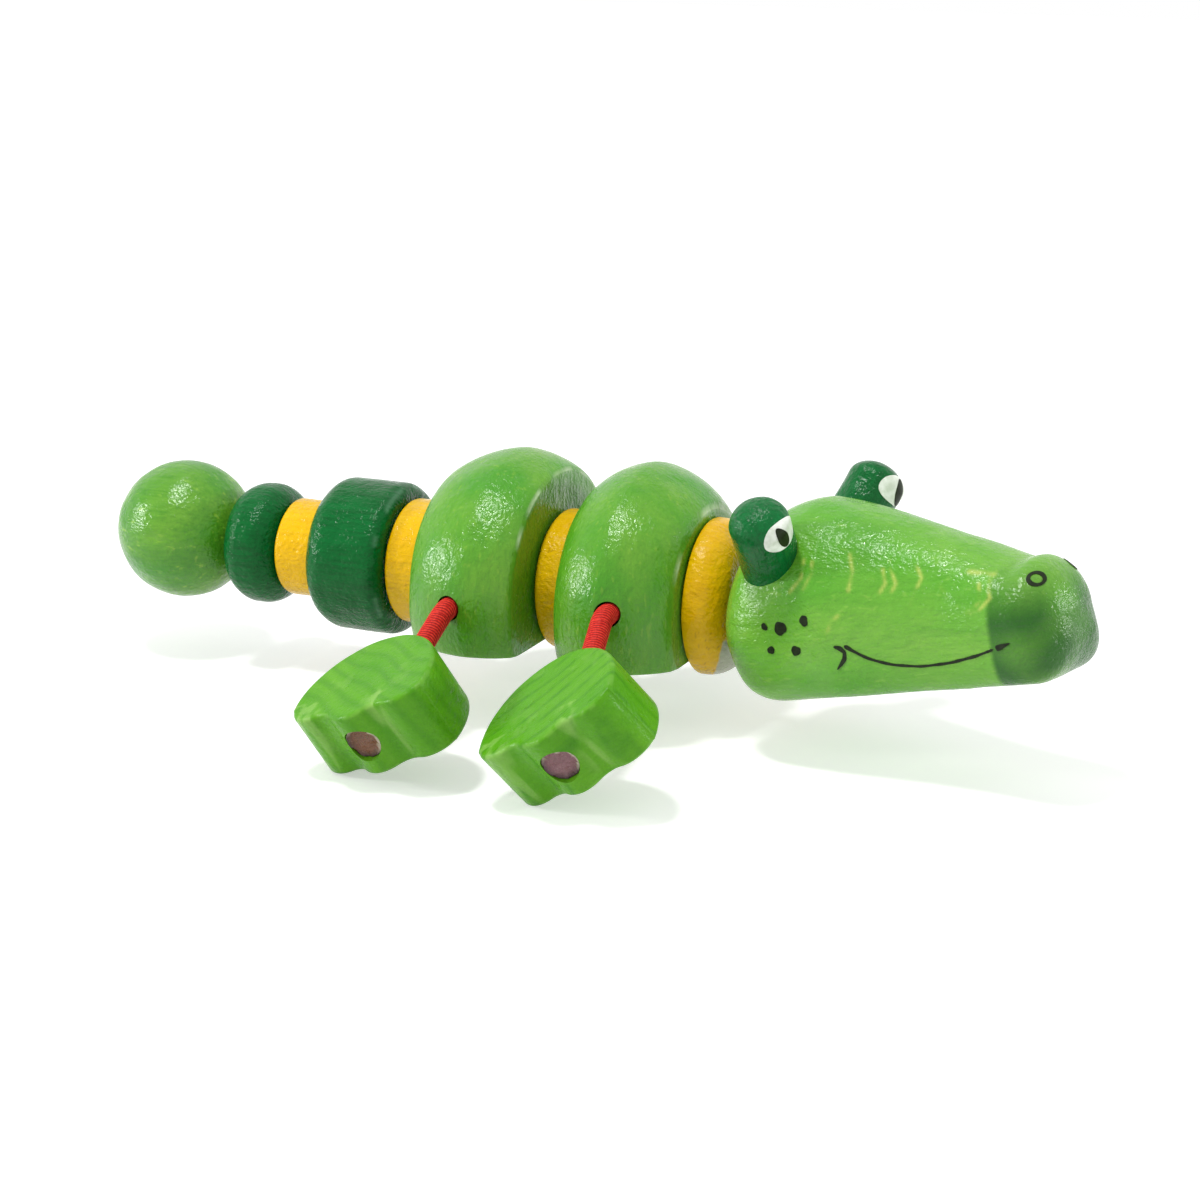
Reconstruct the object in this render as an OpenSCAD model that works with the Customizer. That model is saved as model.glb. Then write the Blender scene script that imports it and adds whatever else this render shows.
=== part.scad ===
// Wooden crocodile grasping toy strung on elastic cord, in millimetres.
// X runs along the spine with the head at +X, Y points to the crocodile's left and Z points up.
// The origin lies on the surface that the feet stand on, under the middle of the toy.

/* [Cord] */
// Diameter of the elastic cord
cord_d = 3.5; // [2.5:0.1:4.5]
// Radial room round the cord in the turned rings, the blocks, the feet and the head
bore_room = 0.5; // [0.3:0.05:0.8]
// Gap between neighbouring pieces along the spine
face_gap = 0.25; // [0.15:0.05:0.4]
// Depth of the cord's hole in the head
head_hole = 16; // [10:0.5:20]
// Depth of the cord's hole in the tail ball
ball_hole = 16; // [12:0.5:19]

/* [Front block] */
// Radius of the round top
front_block_r = 22.8; // [20:0.1:25]
// Radius of the front face
front_face_r = 16.2; // [14:0.1:18]
// Distance from the front face to the widest section
front_shoulder = 10.6; // [8:0.1:12]
// Distance from the widest section to the back
front_back = 9.5; // [8:0.1:12]
// Radius of the flat back
front_back_r = 17; // [14:0.1:18]

/* [Rear block] */
// Radius of the round top
rear_block_r = 23; // [20:0.1:25]
// Radius of the front face
rear_face_r = 20; // [17:0.1:21]
// Distance from the front face to the widest section
rear_shoulder = 8; // [6:0.1:10]
// Distance from the widest section to the back
rear_back = 11.7; // [10:0.1:14]
// Radius of the flat back
rear_back_r = 17; // [13:0.1:18]

/* [Both blocks] */
// Height of the cord's bore over the centre of the round top
bore_rise = 1.9; // [1:0.1:3]
// Height of the cord's bore over the flat underside
belly_drop = 9; // [8:0.1:11]

/* [Neck and waist] */
// Radius of the neck ring
neck_ring_r = 12.9; // [11:0.1:15]
// Thickness of the neck ring
neck_ring_t = 6.4; // [6:0.1:10]
// Radius of the flat front of the neck ring, on whose edge the head leans
neck_seat_r = 7.4; // [6:0.1:9]
// Thickness of the straight rim at the back of the neck ring
neck_rim_t = 1.2; // [0.6:0.1:2]
// Radius of the waist ring
waist_ring_r = 11.7; // [9:0.1:13]
// Thickness of the waist ring
waist_ring_t = 5.9; // [4:0.1:8]
// Softened edge of the rings
ring_edge = 0.8; // [0.4:0.1:1.4]

/* [Tail] */
// Radius of the front tail ring
tail_ring_front_r = 10.6; // [9:0.1:12]
// Thickness of the front tail ring
tail_ring_front_t = 8.1; // [6:0.1:10]
// Radius of the collar
collar_r = 13.1; // [11:0.1:15]
// Length of the collar
collar_t = 14.9; // [12:0.1:18]
// Radius of the collar's rear rim
collar_edge = 4; // [2:0.1:5]
// Radius of the collar's front rim
collar_front_edge = 2.5; // [1:0.1:4]
// Radius of the rear tail ring
tail_ring_rear_r = 8.4; // [7:0.1:10]
// Thickness of the rear tail ring
tail_ring_rear_t = 7.2; // [5:0.1:9]
// Radius of the tail bead
tail_bead_r = 10.5; // [9:0.1:12]
// Thickness of the tail bead
tail_bead_t = 10.3; // [8:0.1:12]
// Width of the flat rim left between the tail bead's two rounded edges
tail_bead_land = 1.1; // [0.6:0.1:2]
// Radius of the tail ball
tail_ball_r = 12.1; // [10:0.1:14]
// Radius of the flat on which the ball meets the tail bead
ball_flat_r = 3.6; // [3:0.1:5]
// Height of the ball's centre over the cord
ball_rise = 0.8; // [0:0.1:1]

/* [Head] */
// Length of the head from the neck to the nose
head_length = 57.5; // [54:1:64]
// Half width of the head at the cheeks
cheek_half = 16.6; // [14:0.1:18]
// Half width of the snout
snout_half = 10.8; // [9:0.1:13]
// Height of the crown over the neck
crown_height = 16.2; // [14:0.1:18]
// Height of the bridge behind the nostrils
bridge_height = 4.5; // [4:0.1:7]
// Depth of the flat underside below the neck
chin_depth = 14.3; // [12:0.1:15]
// Turn of the head to the right on the neck
head_yaw = 13.5; // [4:0.5:16]
// Upward tilt of the head on the neck
head_pitch = 12.5; // [4:0.5:14]
// Radius of an eye peg
eye_r = 4.9; // [4:0.1:6]
// Length of an eye peg over its seat
eye_length = 14; // [12:0.1:16]
// Height of the peg's domed top
eye_dome = 3.4; // [2.5:0.1:4]
// Distance of the eye pegs from the back of the head
eye_forward = 12.9; // [11:0.1:15]
// Distance of an eye peg from the middle of the head
eye_half_gap = 14.6; // [13:0.1:17]
// Height of an eye peg over the neck
eye_height = 12.7; // [11:0.1:15]
// Outward lean of the eye pegs
eye_lean = 37.5; // [15:0.5:42]
// Forward lean of the eye pegs
eye_nod = 25; // [0:1:30]

/* [Feet] */
// Width of a foot across the toes
foot_width = 26; // [24:0.1:28]
// Length of a foot from the heel to the middle toe
foot_length = 20; // [18:0.1:23]
// Thickness of a foot
foot_thick = 11.7; // [10:0.1:14]
// Radius of a toe
toe_r = 4.9; // [4:0.1:5.4]
// Distance that the outer toes are set back from the middle one
toe_step = 1.8; // [0.5:0.1:2.5]
// Radius of the hole in the middle toe
toe_hole_r = 3; // [2.7:0.1:3.6]
// Depth of the plug below the middle toe
plug_recess = 0.9; // [0.4:0.1:1.5]
// Length of a toe plug
plug_length = 2.8; // [2:0.1:4]
// Radial room round the eye pegs and the toe plugs
peg_room = 0.05; // [0.02:0.01:0.1]

/* [Legs] */
// Radial room round the cord in the side holes
leg_room = 0.35; // [0.3:0.05:0.5]
// Distance of a side hole's end from the middle of the block
leg_hole_end = 6; // [5:0.5:8]
// Distance from the block to the place where the cord bends at a side hole
mouth_lift = 0.8; // [0.6:0.1:1.2]
// Distance along the cord from that bend to the next one
knuckle_length = 5; // [4:0.1:6]
// Distance of the front side holes behind the front block's face
front_leg_back = 8.5; // [7:0.1:12]
// Height of the front side holes over the cord's bore
front_leg_rise = 1.5; // [-1:0.1:3]
// Free length of the cord between the front block and a heel
front_leg_reach = 15.8; // [12:0.1:18]
// Downward slope of the front legs
front_leg_droop = 23.5; // [15:0.1:30]
// Forward lean of the front legs
front_leg_sweep = 12.4; // [0:0.1:16]
// Roll of the front feet on their cords
front_foot_roll = 34.4; // [0:0.1:40]
// Distance of the rear side holes behind the rear block's face
rear_leg_back = 9.8; // [8:0.1:14]
// Height of the rear side holes over the cord's bore
rear_leg_rise = -0.6; // [-2:0.1:3]
// Free length of the cord between the rear block and a heel
rear_leg_reach = 14; // [12:0.1:18]
// Downward slope of the rear legs
rear_leg_droop = 23.9; // [15:0.1:30]
// Forward lean of the rear legs
rear_leg_sweep = 2; // [0:0.1:12]
// Roll of the rear feet on their cords
rear_foot_roll = 21.4; // [0:0.1:40]

/* [Hidden] */
fine = 96;
medium = 48;
over = 1;
cord_gap = 0.2;
cord_r = cord_d / 2;
bore_r = cord_r + bore_room;
leg_hole_r = cord_r + leg_room;

// Places along the spine, measured from the front face of the front block
front_length = front_shoulder + front_back;
rear_length = rear_shoulder + rear_back;
neck_ring_x = face_gap;
head_seat_x = neck_ring_x + neck_ring_t + face_gap;
head_ahead = cos(head_pitch) * cos(head_yaw);
head_x = head_seat_x + neck_seat_r * sqrt(1 - head_ahead * head_ahead) / head_ahead;
waist_ring_x = -front_length - face_gap - waist_ring_t;
rear_face_x = waist_ring_x - face_gap;
tail_ring_front_x = rear_face_x - rear_length - face_gap - tail_ring_front_t;
collar_x = tail_ring_front_x - face_gap - collar_t;
tail_ring_rear_x = collar_x - face_gap - tail_ring_rear_t;
tail_bead_x = tail_ring_rear_x - face_gap - tail_bead_t;
ball_face_x = tail_bead_x - face_gap;
ball_x = ball_face_x - sqrt(tail_ball_r * tail_ball_r - ball_flat_r * ball_flat_r);

// Radius of a block at a distance x behind its face: a blunt front shoulder and a quarter ellipse behind it
shoulder_power = 1.5;
back_power = 1.6;
function bulge(s, p) = pow(max(0, 1 - pow(s, p)), 1 / p);
function block_radius(x, r, face_r, shoulder, back, back_r) = x < shoulder
    ? face_r + (r - face_r) * bulge((shoulder - x) / shoulder, shoulder_power)
    : back_r + (r - back_r) * bulge((x - shoulder) / back, back_power);
function front_radius(x) =
    block_radius(x, front_block_r, front_face_r, front_shoulder, front_back, front_back_r);
function rear_radius(x) = block_radius(x, rear_block_r, rear_face_r, rear_shoulder, rear_back, rear_back_r);
// Half width of a block at a height z over the cord's bore
function half_width(r, z) = sqrt(r * r - (z + bore_rise) * (z + bore_rise));
front_leg_y = mouth_lift + half_width(max(front_radius(front_leg_back - leg_hole_r),
    front_radius(front_leg_back + leg_hole_r)), front_leg_rise - leg_hole_r);
rear_leg_y = mouth_lift + half_width(max(rear_radius(rear_leg_back - leg_hole_r),
    rear_radius(rear_leg_back + leg_hole_r)), rear_leg_rise);

// Directions of a right leg: along its cord, across its foot and through its foot
function along_leg(droop, sweep) = [cos(droop) * sin(sweep), -cos(droop) * cos(sweep), -sin(droop)];
function across_foot(droop, sweep, roll) = let (level = [cos(sweep), sin(sweep), 0])
    cos(roll) * level + sin(roll) * cross(along_leg(droop, sweep), level);
function through_foot(droop, sweep, roll) = cross(across_foot(droop, sweep, roll), along_leg(droop, sweep));

// How far a foot reaches below the bend at its side hole, from the round toes and the round heel
heel_r = foot_width / 2;
toe_x = heel_r - toe_r;
toe_y = foot_length - toe_r;
function round_depth(x, y, r, a, b) = x * a + y * b + r * sqrt(a * a + b * b);
function foot_depth(reach, droop, sweep, roll) = let (
    a = abs(across_foot(droop, sweep, roll)[2]),
    b = sin(droop),
    c = abs(through_foot(droop, sweep, roll)[2]),
    heel_y = reach - mouth_lift)
    round_depth(toe_x, heel_y + toe_y - toe_step, toe_r, a, b) + c * foot_thick / 2;
floor_z = min(
    front_leg_rise - foot_depth(front_leg_reach, front_leg_droop, front_leg_sweep, front_foot_roll),
    rear_leg_rise - foot_depth(rear_leg_reach, rear_leg_droop, rear_leg_sweep, rear_foot_roll));

// The head's sections follow curves along its length: the top, the half width and the flat underside
widest_z = -4;
crown_x = 15.5;
bridge_x = 0.86 * head_length;
nostril_rise = 0.6;
crown_bend = 0.03;
slope_power = 1.2;
nose_taper = 0.8;
chin_rise = 0.5;
back_round = 8;
jaw_round = 11;
nose_round = 8.5;
chin_round = 6;
back_fall = 0.6;
jaw_fall = 0.85;
nose_fall = 0.93;
chin_fall = 0.8;
round_power = 2.4;
chin_power = 2.6;
arch_power = 0.95;
side_power = 0.42;
base_power = 0.45;
blend_power = 0.5;
head_stations = 30;
head_sides = 36;
function ease(a, b, s) = a + (b - a) * (1 - cos(180 * min(1, max(0, s)))) / 2;
function slope(x) = pow((x - crown_x) / (bridge_x - crown_x), slope_power);
function top_at(x) = x < crown_x ? crown_height - crown_bend * (crown_x - x) * (crown_x - x)
    : x < bridge_x ? crown_height - (crown_height - bridge_height) * slope(x)
    : ease(bridge_height, bridge_height + nostril_rise, (x - bridge_x) / 3);
function half_at(x) = ease(cheek_half, snout_half, (x / head_length - 0.12) / 0.62)
    - ease(0, nose_taper, (x / head_length - 0.75) / 0.25);
function chin_at(x) = chin_depth - ease(0, chin_rise, (x / head_length - 0.5) / 0.5);
// How the sections shrink towards the domed back and the round nose, over and under the widest line
function round_off(d, reach, p, fall) = d < reach ? sqrt(1 - pow(1 - d / reach, p) * fall) : 1;
function upper_scale(x) = round_off(x, back_round, round_power, back_fall)
    * round_off(head_length - x, nose_round, round_power, nose_fall);
function lower_scale(x) = round_off(x, jaw_round, round_power, jaw_fall)
    * round_off(head_length - x, chin_round, chin_power, chin_fall);
function power(v, p) = sign(v) * pow(abs(v), p);
function head_point(x, a) = let (
    up = sin(a) > 0,
    below = pow(max(0, -sin(a)), blend_power),
    k = upper_scale(x) * (1 - below) + lower_scale(x) * below,
    rise = up ? (top_at(x) - widest_z) * sin(a) : (chin_at(x) + widest_z) * power(sin(a), base_power),
    half = half_at(x) * power(cos(a), up ? arch_power : side_power))
    [x, half * k, widest_z + rise * k];
function station(i) = head_length * (1 - cos(180 * i / (head_stations - 1))) / 2;
// A point of the head, tilted and turned on the neck
function posed(p) = let (
    x = p[0] * cos(head_pitch) - p[2] * sin(head_pitch),
    z = p[0] * sin(head_pitch) + p[2] * cos(head_pitch))
    [head_x + x * cos(head_yaw) + p[1] * sin(head_yaw), p[1] * cos(head_yaw) - x * sin(head_yaw), z];
head_mesh = [for (i = [0:head_stations - 1]) for (j = [0:head_sides - 1])
    posed(head_point(station(i), 360 * j / head_sides))];
nose_x = max([for (p = head_mesh) p[0]]);
tail_x = ball_x - tail_ball_r;
origin = [-(nose_x + tail_x) / 2, 0, -floor_z];

leaf_green = [0.42, 0.68, 0.25];
dark_green = [0.05, 0.42, 0.24];
yellow = [0.95, 0.72, 0.08];
cord_red = [0.8, 0.12, 0.1];

// Stands what is drawn upright at x on the spine, pointing to the head
module on_spine(x) {
    translate(origin + [x, 0, 0]) rotate([0, 90, 0]) children();
}

// Half section of a disc with a round rear edge and a round front edge
module disc_section(r, t, rear_edge, front_edge) {
    square([r - max(rear_edge, front_edge), t]);
    translate([0, rear_edge]) square([r, t - rear_edge - front_edge]);
    translate([r - rear_edge, rear_edge]) circle(rear_edge, $fn = medium);
    translate([r - front_edge, t - front_edge]) circle(front_edge, $fn = medium);
    square([r - rear_edge, t / 2]);
    translate([0, t / 2]) square([r - front_edge, t / 2]);
}

// A turned piece that is threaded on the cord
module threaded_disc(x, r, t, rear_edge, front_edge) {
    on_spine(x) difference() {
        rotate_extrude($fn = fine) disc_section(r, t, rear_edge, front_edge);
        translate([0, 0, -over]) cylinder(r = bore_r, h = t + 2 * over, $fn = medium);
    }
}

// A stretch of the spine cord between two places where it can bend
module spine_cord(from, to) {
    color(cord_red) on_spine(from + cord_gap / 2)
        cylinder(r = cord_r, h = to - from - cord_gap, $fn = medium);
}

// Neck ring: a straight rim at the back and a domed front with a small flat for the head
module neck_ring() {
    dome = neck_ring_t - neck_rim_t;
    edge = [for (i = [0:outline_steps]) let (a = 90 * i / outline_steps)
        [neck_seat_r + (neck_ring_r - neck_seat_r) * cos(a), neck_rim_t + dome * sin(a)]];
    color(yellow) on_spine(neck_ring_x) difference() {
        rotate_extrude($fn = fine) polygon(concat([[0, neck_ring_t], [0, 0], [neck_ring_r, 0]], edge));
        translate([0, 0, -over]) cylinder(r = bore_r, h = neck_ring_t + 2 * over, $fn = medium);
    }
}

module waist_ring() {
    color(yellow) threaded_disc(waist_ring_x, waist_ring_r, waist_ring_t, ring_edge, ring_edge);
}

module tail_ring_front() {
    color(yellow)
        threaded_disc(tail_ring_front_x, tail_ring_front_r, tail_ring_front_t, ring_edge, ring_edge);
}

module tail_collar() {
    color(dark_green) threaded_disc(collar_x, collar_r, collar_t, collar_edge, collar_front_edge);
}

module tail_ring_rear() {
    color(yellow) threaded_disc(tail_ring_rear_x, tail_ring_rear_r, tail_ring_rear_t, ring_edge, ring_edge);
}

module tail_bead() {
    edge = (tail_bead_t - tail_bead_land) / 2;
    color(dark_green) threaded_disc(tail_bead_x, tail_bead_r, tail_bead_t, edge, edge);
}

// Ball with a flat towards the tail bead and a blind hole for the end of the cord
module tail_ball() {
    color(leaf_green) translate(origin) difference() {
        translate([ball_x, 0, ball_rise]) sphere(r = tail_ball_r, $fn = fine);
        translate([ball_face_x, -tail_ball_r, -tail_ball_r]) cube(2 * tail_ball_r);
        translate([ball_face_x - ball_hole, 0, 0]) rotate([0, 90, 0])
            cylinder(r = bore_r, h = ball_hole + over, $fn = medium);
    }
}

// Body block: a turned round top, a flat underside, a bore for the cord and a blind hole for each leg
module block(face_x, outline, length, r, leg_back, leg_rise) {
    color(leaf_green) difference() {
        translate([0, 0, -bore_rise]) on_spine(face_x) rotate_extrude($fn = fine) polygon(outline);
        translate(origin + [face_x - length - over, -2 * r, -belly_drop - 2 * r])
            cube([length + 2 * over, 4 * r, 2 * r]);
        on_spine(face_x - length - over) cylinder(r = bore_r, h = length + 2 * over, $fn = medium);
        for (side = [-1, 1]) {
            translate(origin + [face_x - leg_back, side * leg_hole_end, leg_rise]) rotate([-side * 90, 0, 0])
                cylinder(r = leg_hole_r, h = r, $fn = medium);
        }
    }
}

outline_steps = 28;
function share(i) = (1 - cos(180 * i / outline_steps)) / 2;

module front_body() {
    outline = [for (i = [0:outline_steps]) let (x = front_length * share(i)) [front_radius(x), -x]];
    block(0, concat([[0, -front_length], [0, 0]], outline), front_length, front_block_r, front_leg_back,
        front_leg_rise);
}

module rear_body() {
    outline = [for (i = [0:outline_steps]) let (x = rear_length * share(i)) [rear_radius(x), -x]];
    block(rear_face_x, concat([[0, -rear_length], [0, 0]], outline), rear_length, rear_block_r, rear_leg_back,
        rear_leg_rise);
}

// Turns +Y to point along a leg's cord and X across its foot, at the bend by its side hole
module at_leg(x, y, z, droop, sweep, roll, side) {
    w = across_foot(droop, sweep, roll);
    t = along_leg(droop, sweep);
    n = through_foot(droop, sweep, roll);
    translate(origin) mirror([0, side > 0 ? 1 : 0, 0])
        multmatrix([[w[0], t[0], n[0], x], [w[1], t[1], n[1], -y], [w[2], t[2], n[2], z]]) children();
}

module at_front_leg(side) {
    at_leg(-front_leg_back, front_leg_y, front_leg_rise, front_leg_droop, front_leg_sweep,
        front_foot_roll, side) children();
}

module at_rear_leg(side) {
    at_leg(rear_face_x - rear_leg_back, rear_leg_y, rear_leg_rise, rear_leg_droop, rear_leg_sweep,
        rear_foot_roll, side) children();
}

// A rod along +Y
module rod(from, to, r) {
    translate([0, from, 0]) rotate([-90, 0, 0]) cylinder(r = r, h = to - from, $fn = medium);
}

// Cord glued in a side hole, as far as the bend
module leg_root(x, y, z, side) {
    color(cord_red) translate(origin + [x, 0, z]) mirror([0, side < 0 ? 1 : 0, 0])
        rod(leg_hole_end + cord_gap, y - cord_r - cord_gap, cord_r);
}

// Short stretch of a leg's cord between its two bends, round where it bends
module leg_knuckle() {
    color(cord_red) {
        sphere(r = cord_r, $fn = medium);
        rod(0, knuckle_length - cord_r - cord_gap, cord_r);
    }
}

// The rest of a leg's cord, through the foot to the toe plug
plug_y = foot_length - plug_recess - plug_length - mouth_lift;
module leg_cord(reach) {
    color(cord_red) {
        translate([0, knuckle_length, 0]) sphere(r = cord_r, $fn = medium);
        rod(knuckle_length, reach + plug_y - cord_gap, cord_r);
    }
}

// Outline of a foot with the heel at the origin: a round heel and three round toes
module foot_outline() {
    intersection() {
        translate([0, heel_r]) circle(heel_r, $fn = fine);
        translate([-heel_r, 0]) square([2 * heel_r, toe_y]);
    }
    translate([0, toe_y]) circle(toe_r, $fn = medium);
    for (side = [-1, 1]) {
        translate([side * toe_x, toe_y - toe_step]) circle(toe_r, $fn = medium);
    }
}

module foot(reach) {
    color(leaf_green) difference() {
        translate([0, reach - mouth_lift, -foot_thick / 2]) linear_extrude(foot_thick) foot_outline();
        rod(reach - mouth_lift - over, reach + plug_y + over, bore_r);
        rod(reach + plug_y, reach + foot_length + over, toe_hole_r);
    }
}

module toe_plug(reach) {
    color("saddlebrown") rod(reach + plug_y, reach + plug_y + plug_length, toe_hole_r - peg_room);
}

// Places what is drawn on the head's own axes
module on_head() {
    translate(origin + [head_x, 0, 0]) rotate([0, 0, -head_yaw]) rotate([0, -head_pitch, 0]) children();
}

// Stands what is drawn upright in the seat of an eye peg, side 1 for the left one
module at_eye(side) {
    on_head() translate([eye_forward, side * eye_half_gap, eye_height]) rotate([0, eye_nod, 0])
        rotate([-side * eye_lean, 0, 0]) translate([0, 0, -eye_length / 2]) children();
}

module head() {
    last = head_stations - 1;
    color(leaf_green) difference() {
        translate(origin) polyhedron(points = head_mesh, faces = concat(
            [[for (j = [0:head_sides - 1]) j]],
            [[for (j = [0:head_sides - 1]) last * head_sides + head_sides - 1 - j]],
            [for (i = [0:last - 1]) for (j = [0:head_sides - 1]) let (k = (j + 1) % head_sides)
                [i * head_sides + j, (i + 1) * head_sides + j, (i + 1) * head_sides + k]],
            [for (i = [0:last - 1]) for (j = [0:head_sides - 1]) let (k = (j + 1) % head_sides)
                [i * head_sides + j, (i + 1) * head_sides + k, i * head_sides + k]]));
        on_spine(head_seat_x - over)
            cylinder(r = bore_r, h = head_x - head_seat_x + head_hole + over, $fn = medium);
        for (side = [-1, 1]) at_eye(side) cylinder(r = eye_r + peg_room, h = 3 * eye_length, $fn = medium);
    }
}

// Eye peg: a dowel with a domed top
module eye_peg(side) {
    dome = [for (i = [0:outline_steps]) let (a = 90 * i / outline_steps)
        [eye_r * cos(a), eye_length - eye_dome + eye_dome * sin(a)]];
    color(dark_green) at_eye(side) translate([0, 0, peg_room])
        rotate_extrude($fn = medium) polygon(concat([[0, 0], [eye_r, 0]], dome));
}

head();
eye_peg(1);  // eye_peg_left
eye_peg(-1);  // eye_peg_right
neck_ring();
front_body();
waist_ring();
rear_body();
tail_ring_front();
tail_collar();
tail_ring_rear();
tail_bead();
tail_ball();
at_front_leg(-1) foot(front_leg_reach);  // foot_front_right
at_front_leg(1) foot(front_leg_reach);  // foot_front_left
at_rear_leg(-1) foot(rear_leg_reach);  // foot_rear_right
at_rear_leg(1) foot(rear_leg_reach);  // foot_rear_left
at_front_leg(-1) toe_plug(front_leg_reach);  // toe_plug_front_right
at_front_leg(1) toe_plug(front_leg_reach);  // toe_plug_front_left
at_rear_leg(-1) toe_plug(rear_leg_reach);  // toe_plug_rear_right
at_rear_leg(1) toe_plug(rear_leg_reach);  // toe_plug_rear_left
leg_root(-front_leg_back, front_leg_y, front_leg_rise, -1);  // leg_root_front_right
leg_root(-front_leg_back, front_leg_y, front_leg_rise, 1);  // leg_root_front_left
leg_root(rear_face_x - rear_leg_back, rear_leg_y, rear_leg_rise, -1);  // leg_root_rear_right
leg_root(rear_face_x - rear_leg_back, rear_leg_y, rear_leg_rise, 1);  // leg_root_rear_left
at_front_leg(-1) leg_knuckle();  // leg_knuckle_front_right
at_front_leg(1) leg_knuckle();  // leg_knuckle_front_left
at_rear_leg(-1) leg_knuckle();  // leg_knuckle_rear_right
at_rear_leg(1) leg_knuckle();  // leg_knuckle_rear_left
at_front_leg(-1) leg_cord(front_leg_reach);  // leg_cord_front_right
at_front_leg(1) leg_cord(front_leg_reach);  // leg_cord_front_left
at_rear_leg(-1) leg_cord(rear_leg_reach);  // leg_cord_rear_right
at_rear_leg(1) leg_cord(rear_leg_reach);  // leg_cord_rear_left
spine_cord(head_x, head_x + head_hole);  // spine_cord_head
spine_cord(head_seat_x - face_gap / 2, head_x);  // spine_cord_nook
spine_cord(neck_ring_x - face_gap / 2, head_seat_x - face_gap / 2);  // spine_cord_neck_ring
spine_cord(-front_length - face_gap / 2, face_gap / 2);  // spine_cord_front_body
spine_cord(waist_ring_x - face_gap / 2, -front_length - face_gap / 2);  // spine_cord_waist_ring
spine_cord(rear_face_x - rear_length - face_gap / 2, rear_face_x + face_gap / 2);  // spine_cord_rear_body
spine_cord(tail_ring_front_x - face_gap / 2, rear_face_x - rear_length - face_gap / 2);  // spine_cord_tail_ring
spine_cord(collar_x - face_gap / 2, tail_ring_front_x - face_gap / 2);  // spine_cord_collar
spine_cord(ball_face_x - ball_hole, collar_x - face_gap / 2);  // spine_cord_tail
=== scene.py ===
"""Wooden crocodile grasping toy, stained and lacquered, strung on red elastic."""
import math
import bmesh
import bpy
import numpy as np
from mathutils import Matrix, Vector


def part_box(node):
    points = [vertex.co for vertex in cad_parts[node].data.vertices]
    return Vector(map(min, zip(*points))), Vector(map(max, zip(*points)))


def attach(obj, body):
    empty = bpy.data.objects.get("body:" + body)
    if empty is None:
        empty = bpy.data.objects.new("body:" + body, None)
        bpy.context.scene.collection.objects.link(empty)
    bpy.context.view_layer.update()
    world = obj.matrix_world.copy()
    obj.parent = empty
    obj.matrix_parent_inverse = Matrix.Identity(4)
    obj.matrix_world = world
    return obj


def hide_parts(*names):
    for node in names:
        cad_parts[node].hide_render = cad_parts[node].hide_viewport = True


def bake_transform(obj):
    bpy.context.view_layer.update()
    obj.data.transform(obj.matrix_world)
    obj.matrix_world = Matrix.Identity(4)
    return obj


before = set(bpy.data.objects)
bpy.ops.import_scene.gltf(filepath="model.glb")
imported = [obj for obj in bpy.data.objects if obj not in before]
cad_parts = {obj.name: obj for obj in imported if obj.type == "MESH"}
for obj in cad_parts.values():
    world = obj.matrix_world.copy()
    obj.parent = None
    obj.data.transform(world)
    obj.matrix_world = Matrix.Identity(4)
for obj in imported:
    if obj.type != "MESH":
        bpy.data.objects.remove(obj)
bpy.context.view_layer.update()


# The room
# A white sheet that the toy stands on, soft daylight from all sides and three
# soft boxes: one overhead, one at the tail's side and one beyond the nose.
front_low, front_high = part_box("front_body")
# The cord leaves the front block's face here, this many mm over its flat belly
belly = 9.0
spine = np.array([front_high[0], 0.0, front_low[2] + belly / 1000])


def linear(red, green, blue):
    """Colour as a screen shows it (0-255) turned into light: each channel over 255 to the power 2.2."""
    return (*[(c / 255) ** 2.2 for c in (red, green, blue)], 1.0)


def look_at(spot, direction):
    """Matrix of something at spot that faces along direction, with its side level."""
    turn = Vector(direction).normalized().to_track_quat("-Z", "Y").to_matrix().to_4x4()
    return Matrix.Translation(Vector(spot)) @ turn


def feed(node, inputs):
    """Gives each input of a shader node its value, or links it where it is given a socket."""
    for label, value in inputs.items():
        if isinstance(value, bpy.types.NodeSocket):
            node.id_data.links.new(value, node.inputs[label])
        else:
            node.inputs[label].default_value = value
    return node


def added(tree, kind, inputs, **settings):
    """A new shader node with its settings, fed with its inputs."""
    node = tree.nodes.new("ShaderNode" + kind)
    for setting, value in settings.items():
        setattr(node, setting, value)
    return feed(node, inputs)


def put(name, data):
    """A new object in the scene, at its origin."""
    thing = bpy.data.objects.new(name, data)
    bpy.context.scene.collection.objects.link(thing)
    return thing


def new_material(name):
    """A new material, and its tree of nodes."""
    material = bpy.data.materials.new(name)
    material.use_nodes = True
    return material, material.node_tree


def unit(vectors):
    """Vectors brought to a length of 1."""
    return vectors / np.linalg.norm(vectors, axis=-1, keepdims=True)


camera = put("camera", bpy.data.cameras.new("camera"))
camera.data.sensor_width = 36
camera.data.lens = 82.76
camera.data.clip_start = 0.01
camera.data.clip_end = 20
# From 24 degrees round to the right of the toy's side and 16 degrees up, about 450 mm away
towards_camera = np.array([0.3910, -0.8782, 0.2756])
camera.matrix_world = look_at(spine + [0.1598, -0.40263, 0.12325], -towards_camera)
bpy.context.scene.camera = camera
bpy.context.scene.view_settings.view_transform = "Standard"

sheet_half = 1.6
corners = [(x * sheet_half, y * sheet_half, 0) for x, y in ((-1, -1), (1, -1), (1, 1), (-1, 1))]
sheet = bpy.data.meshes.new("sheet")
sheet.from_pydata(corners, [], [(0, 1, 2, 3)])
floor = put("floor", sheet)


def rays_that_see(tree):
    """Socket that is 1 for the rays that look at something: from the camera, mirrored or let through."""
    path = added(tree, "LightPath", {}).outputs
    first = added(tree, "Math", {0: path["Is Camera Ray"], 1: path["Is Glossy Ray"]}, operation="MAXIMUM")
    both = {0: first.outputs[0], 1: path["Is Transmission Ray"]}
    return added(tree, "Math", both, operation="MAXIMUM").outputs[0]


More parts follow.
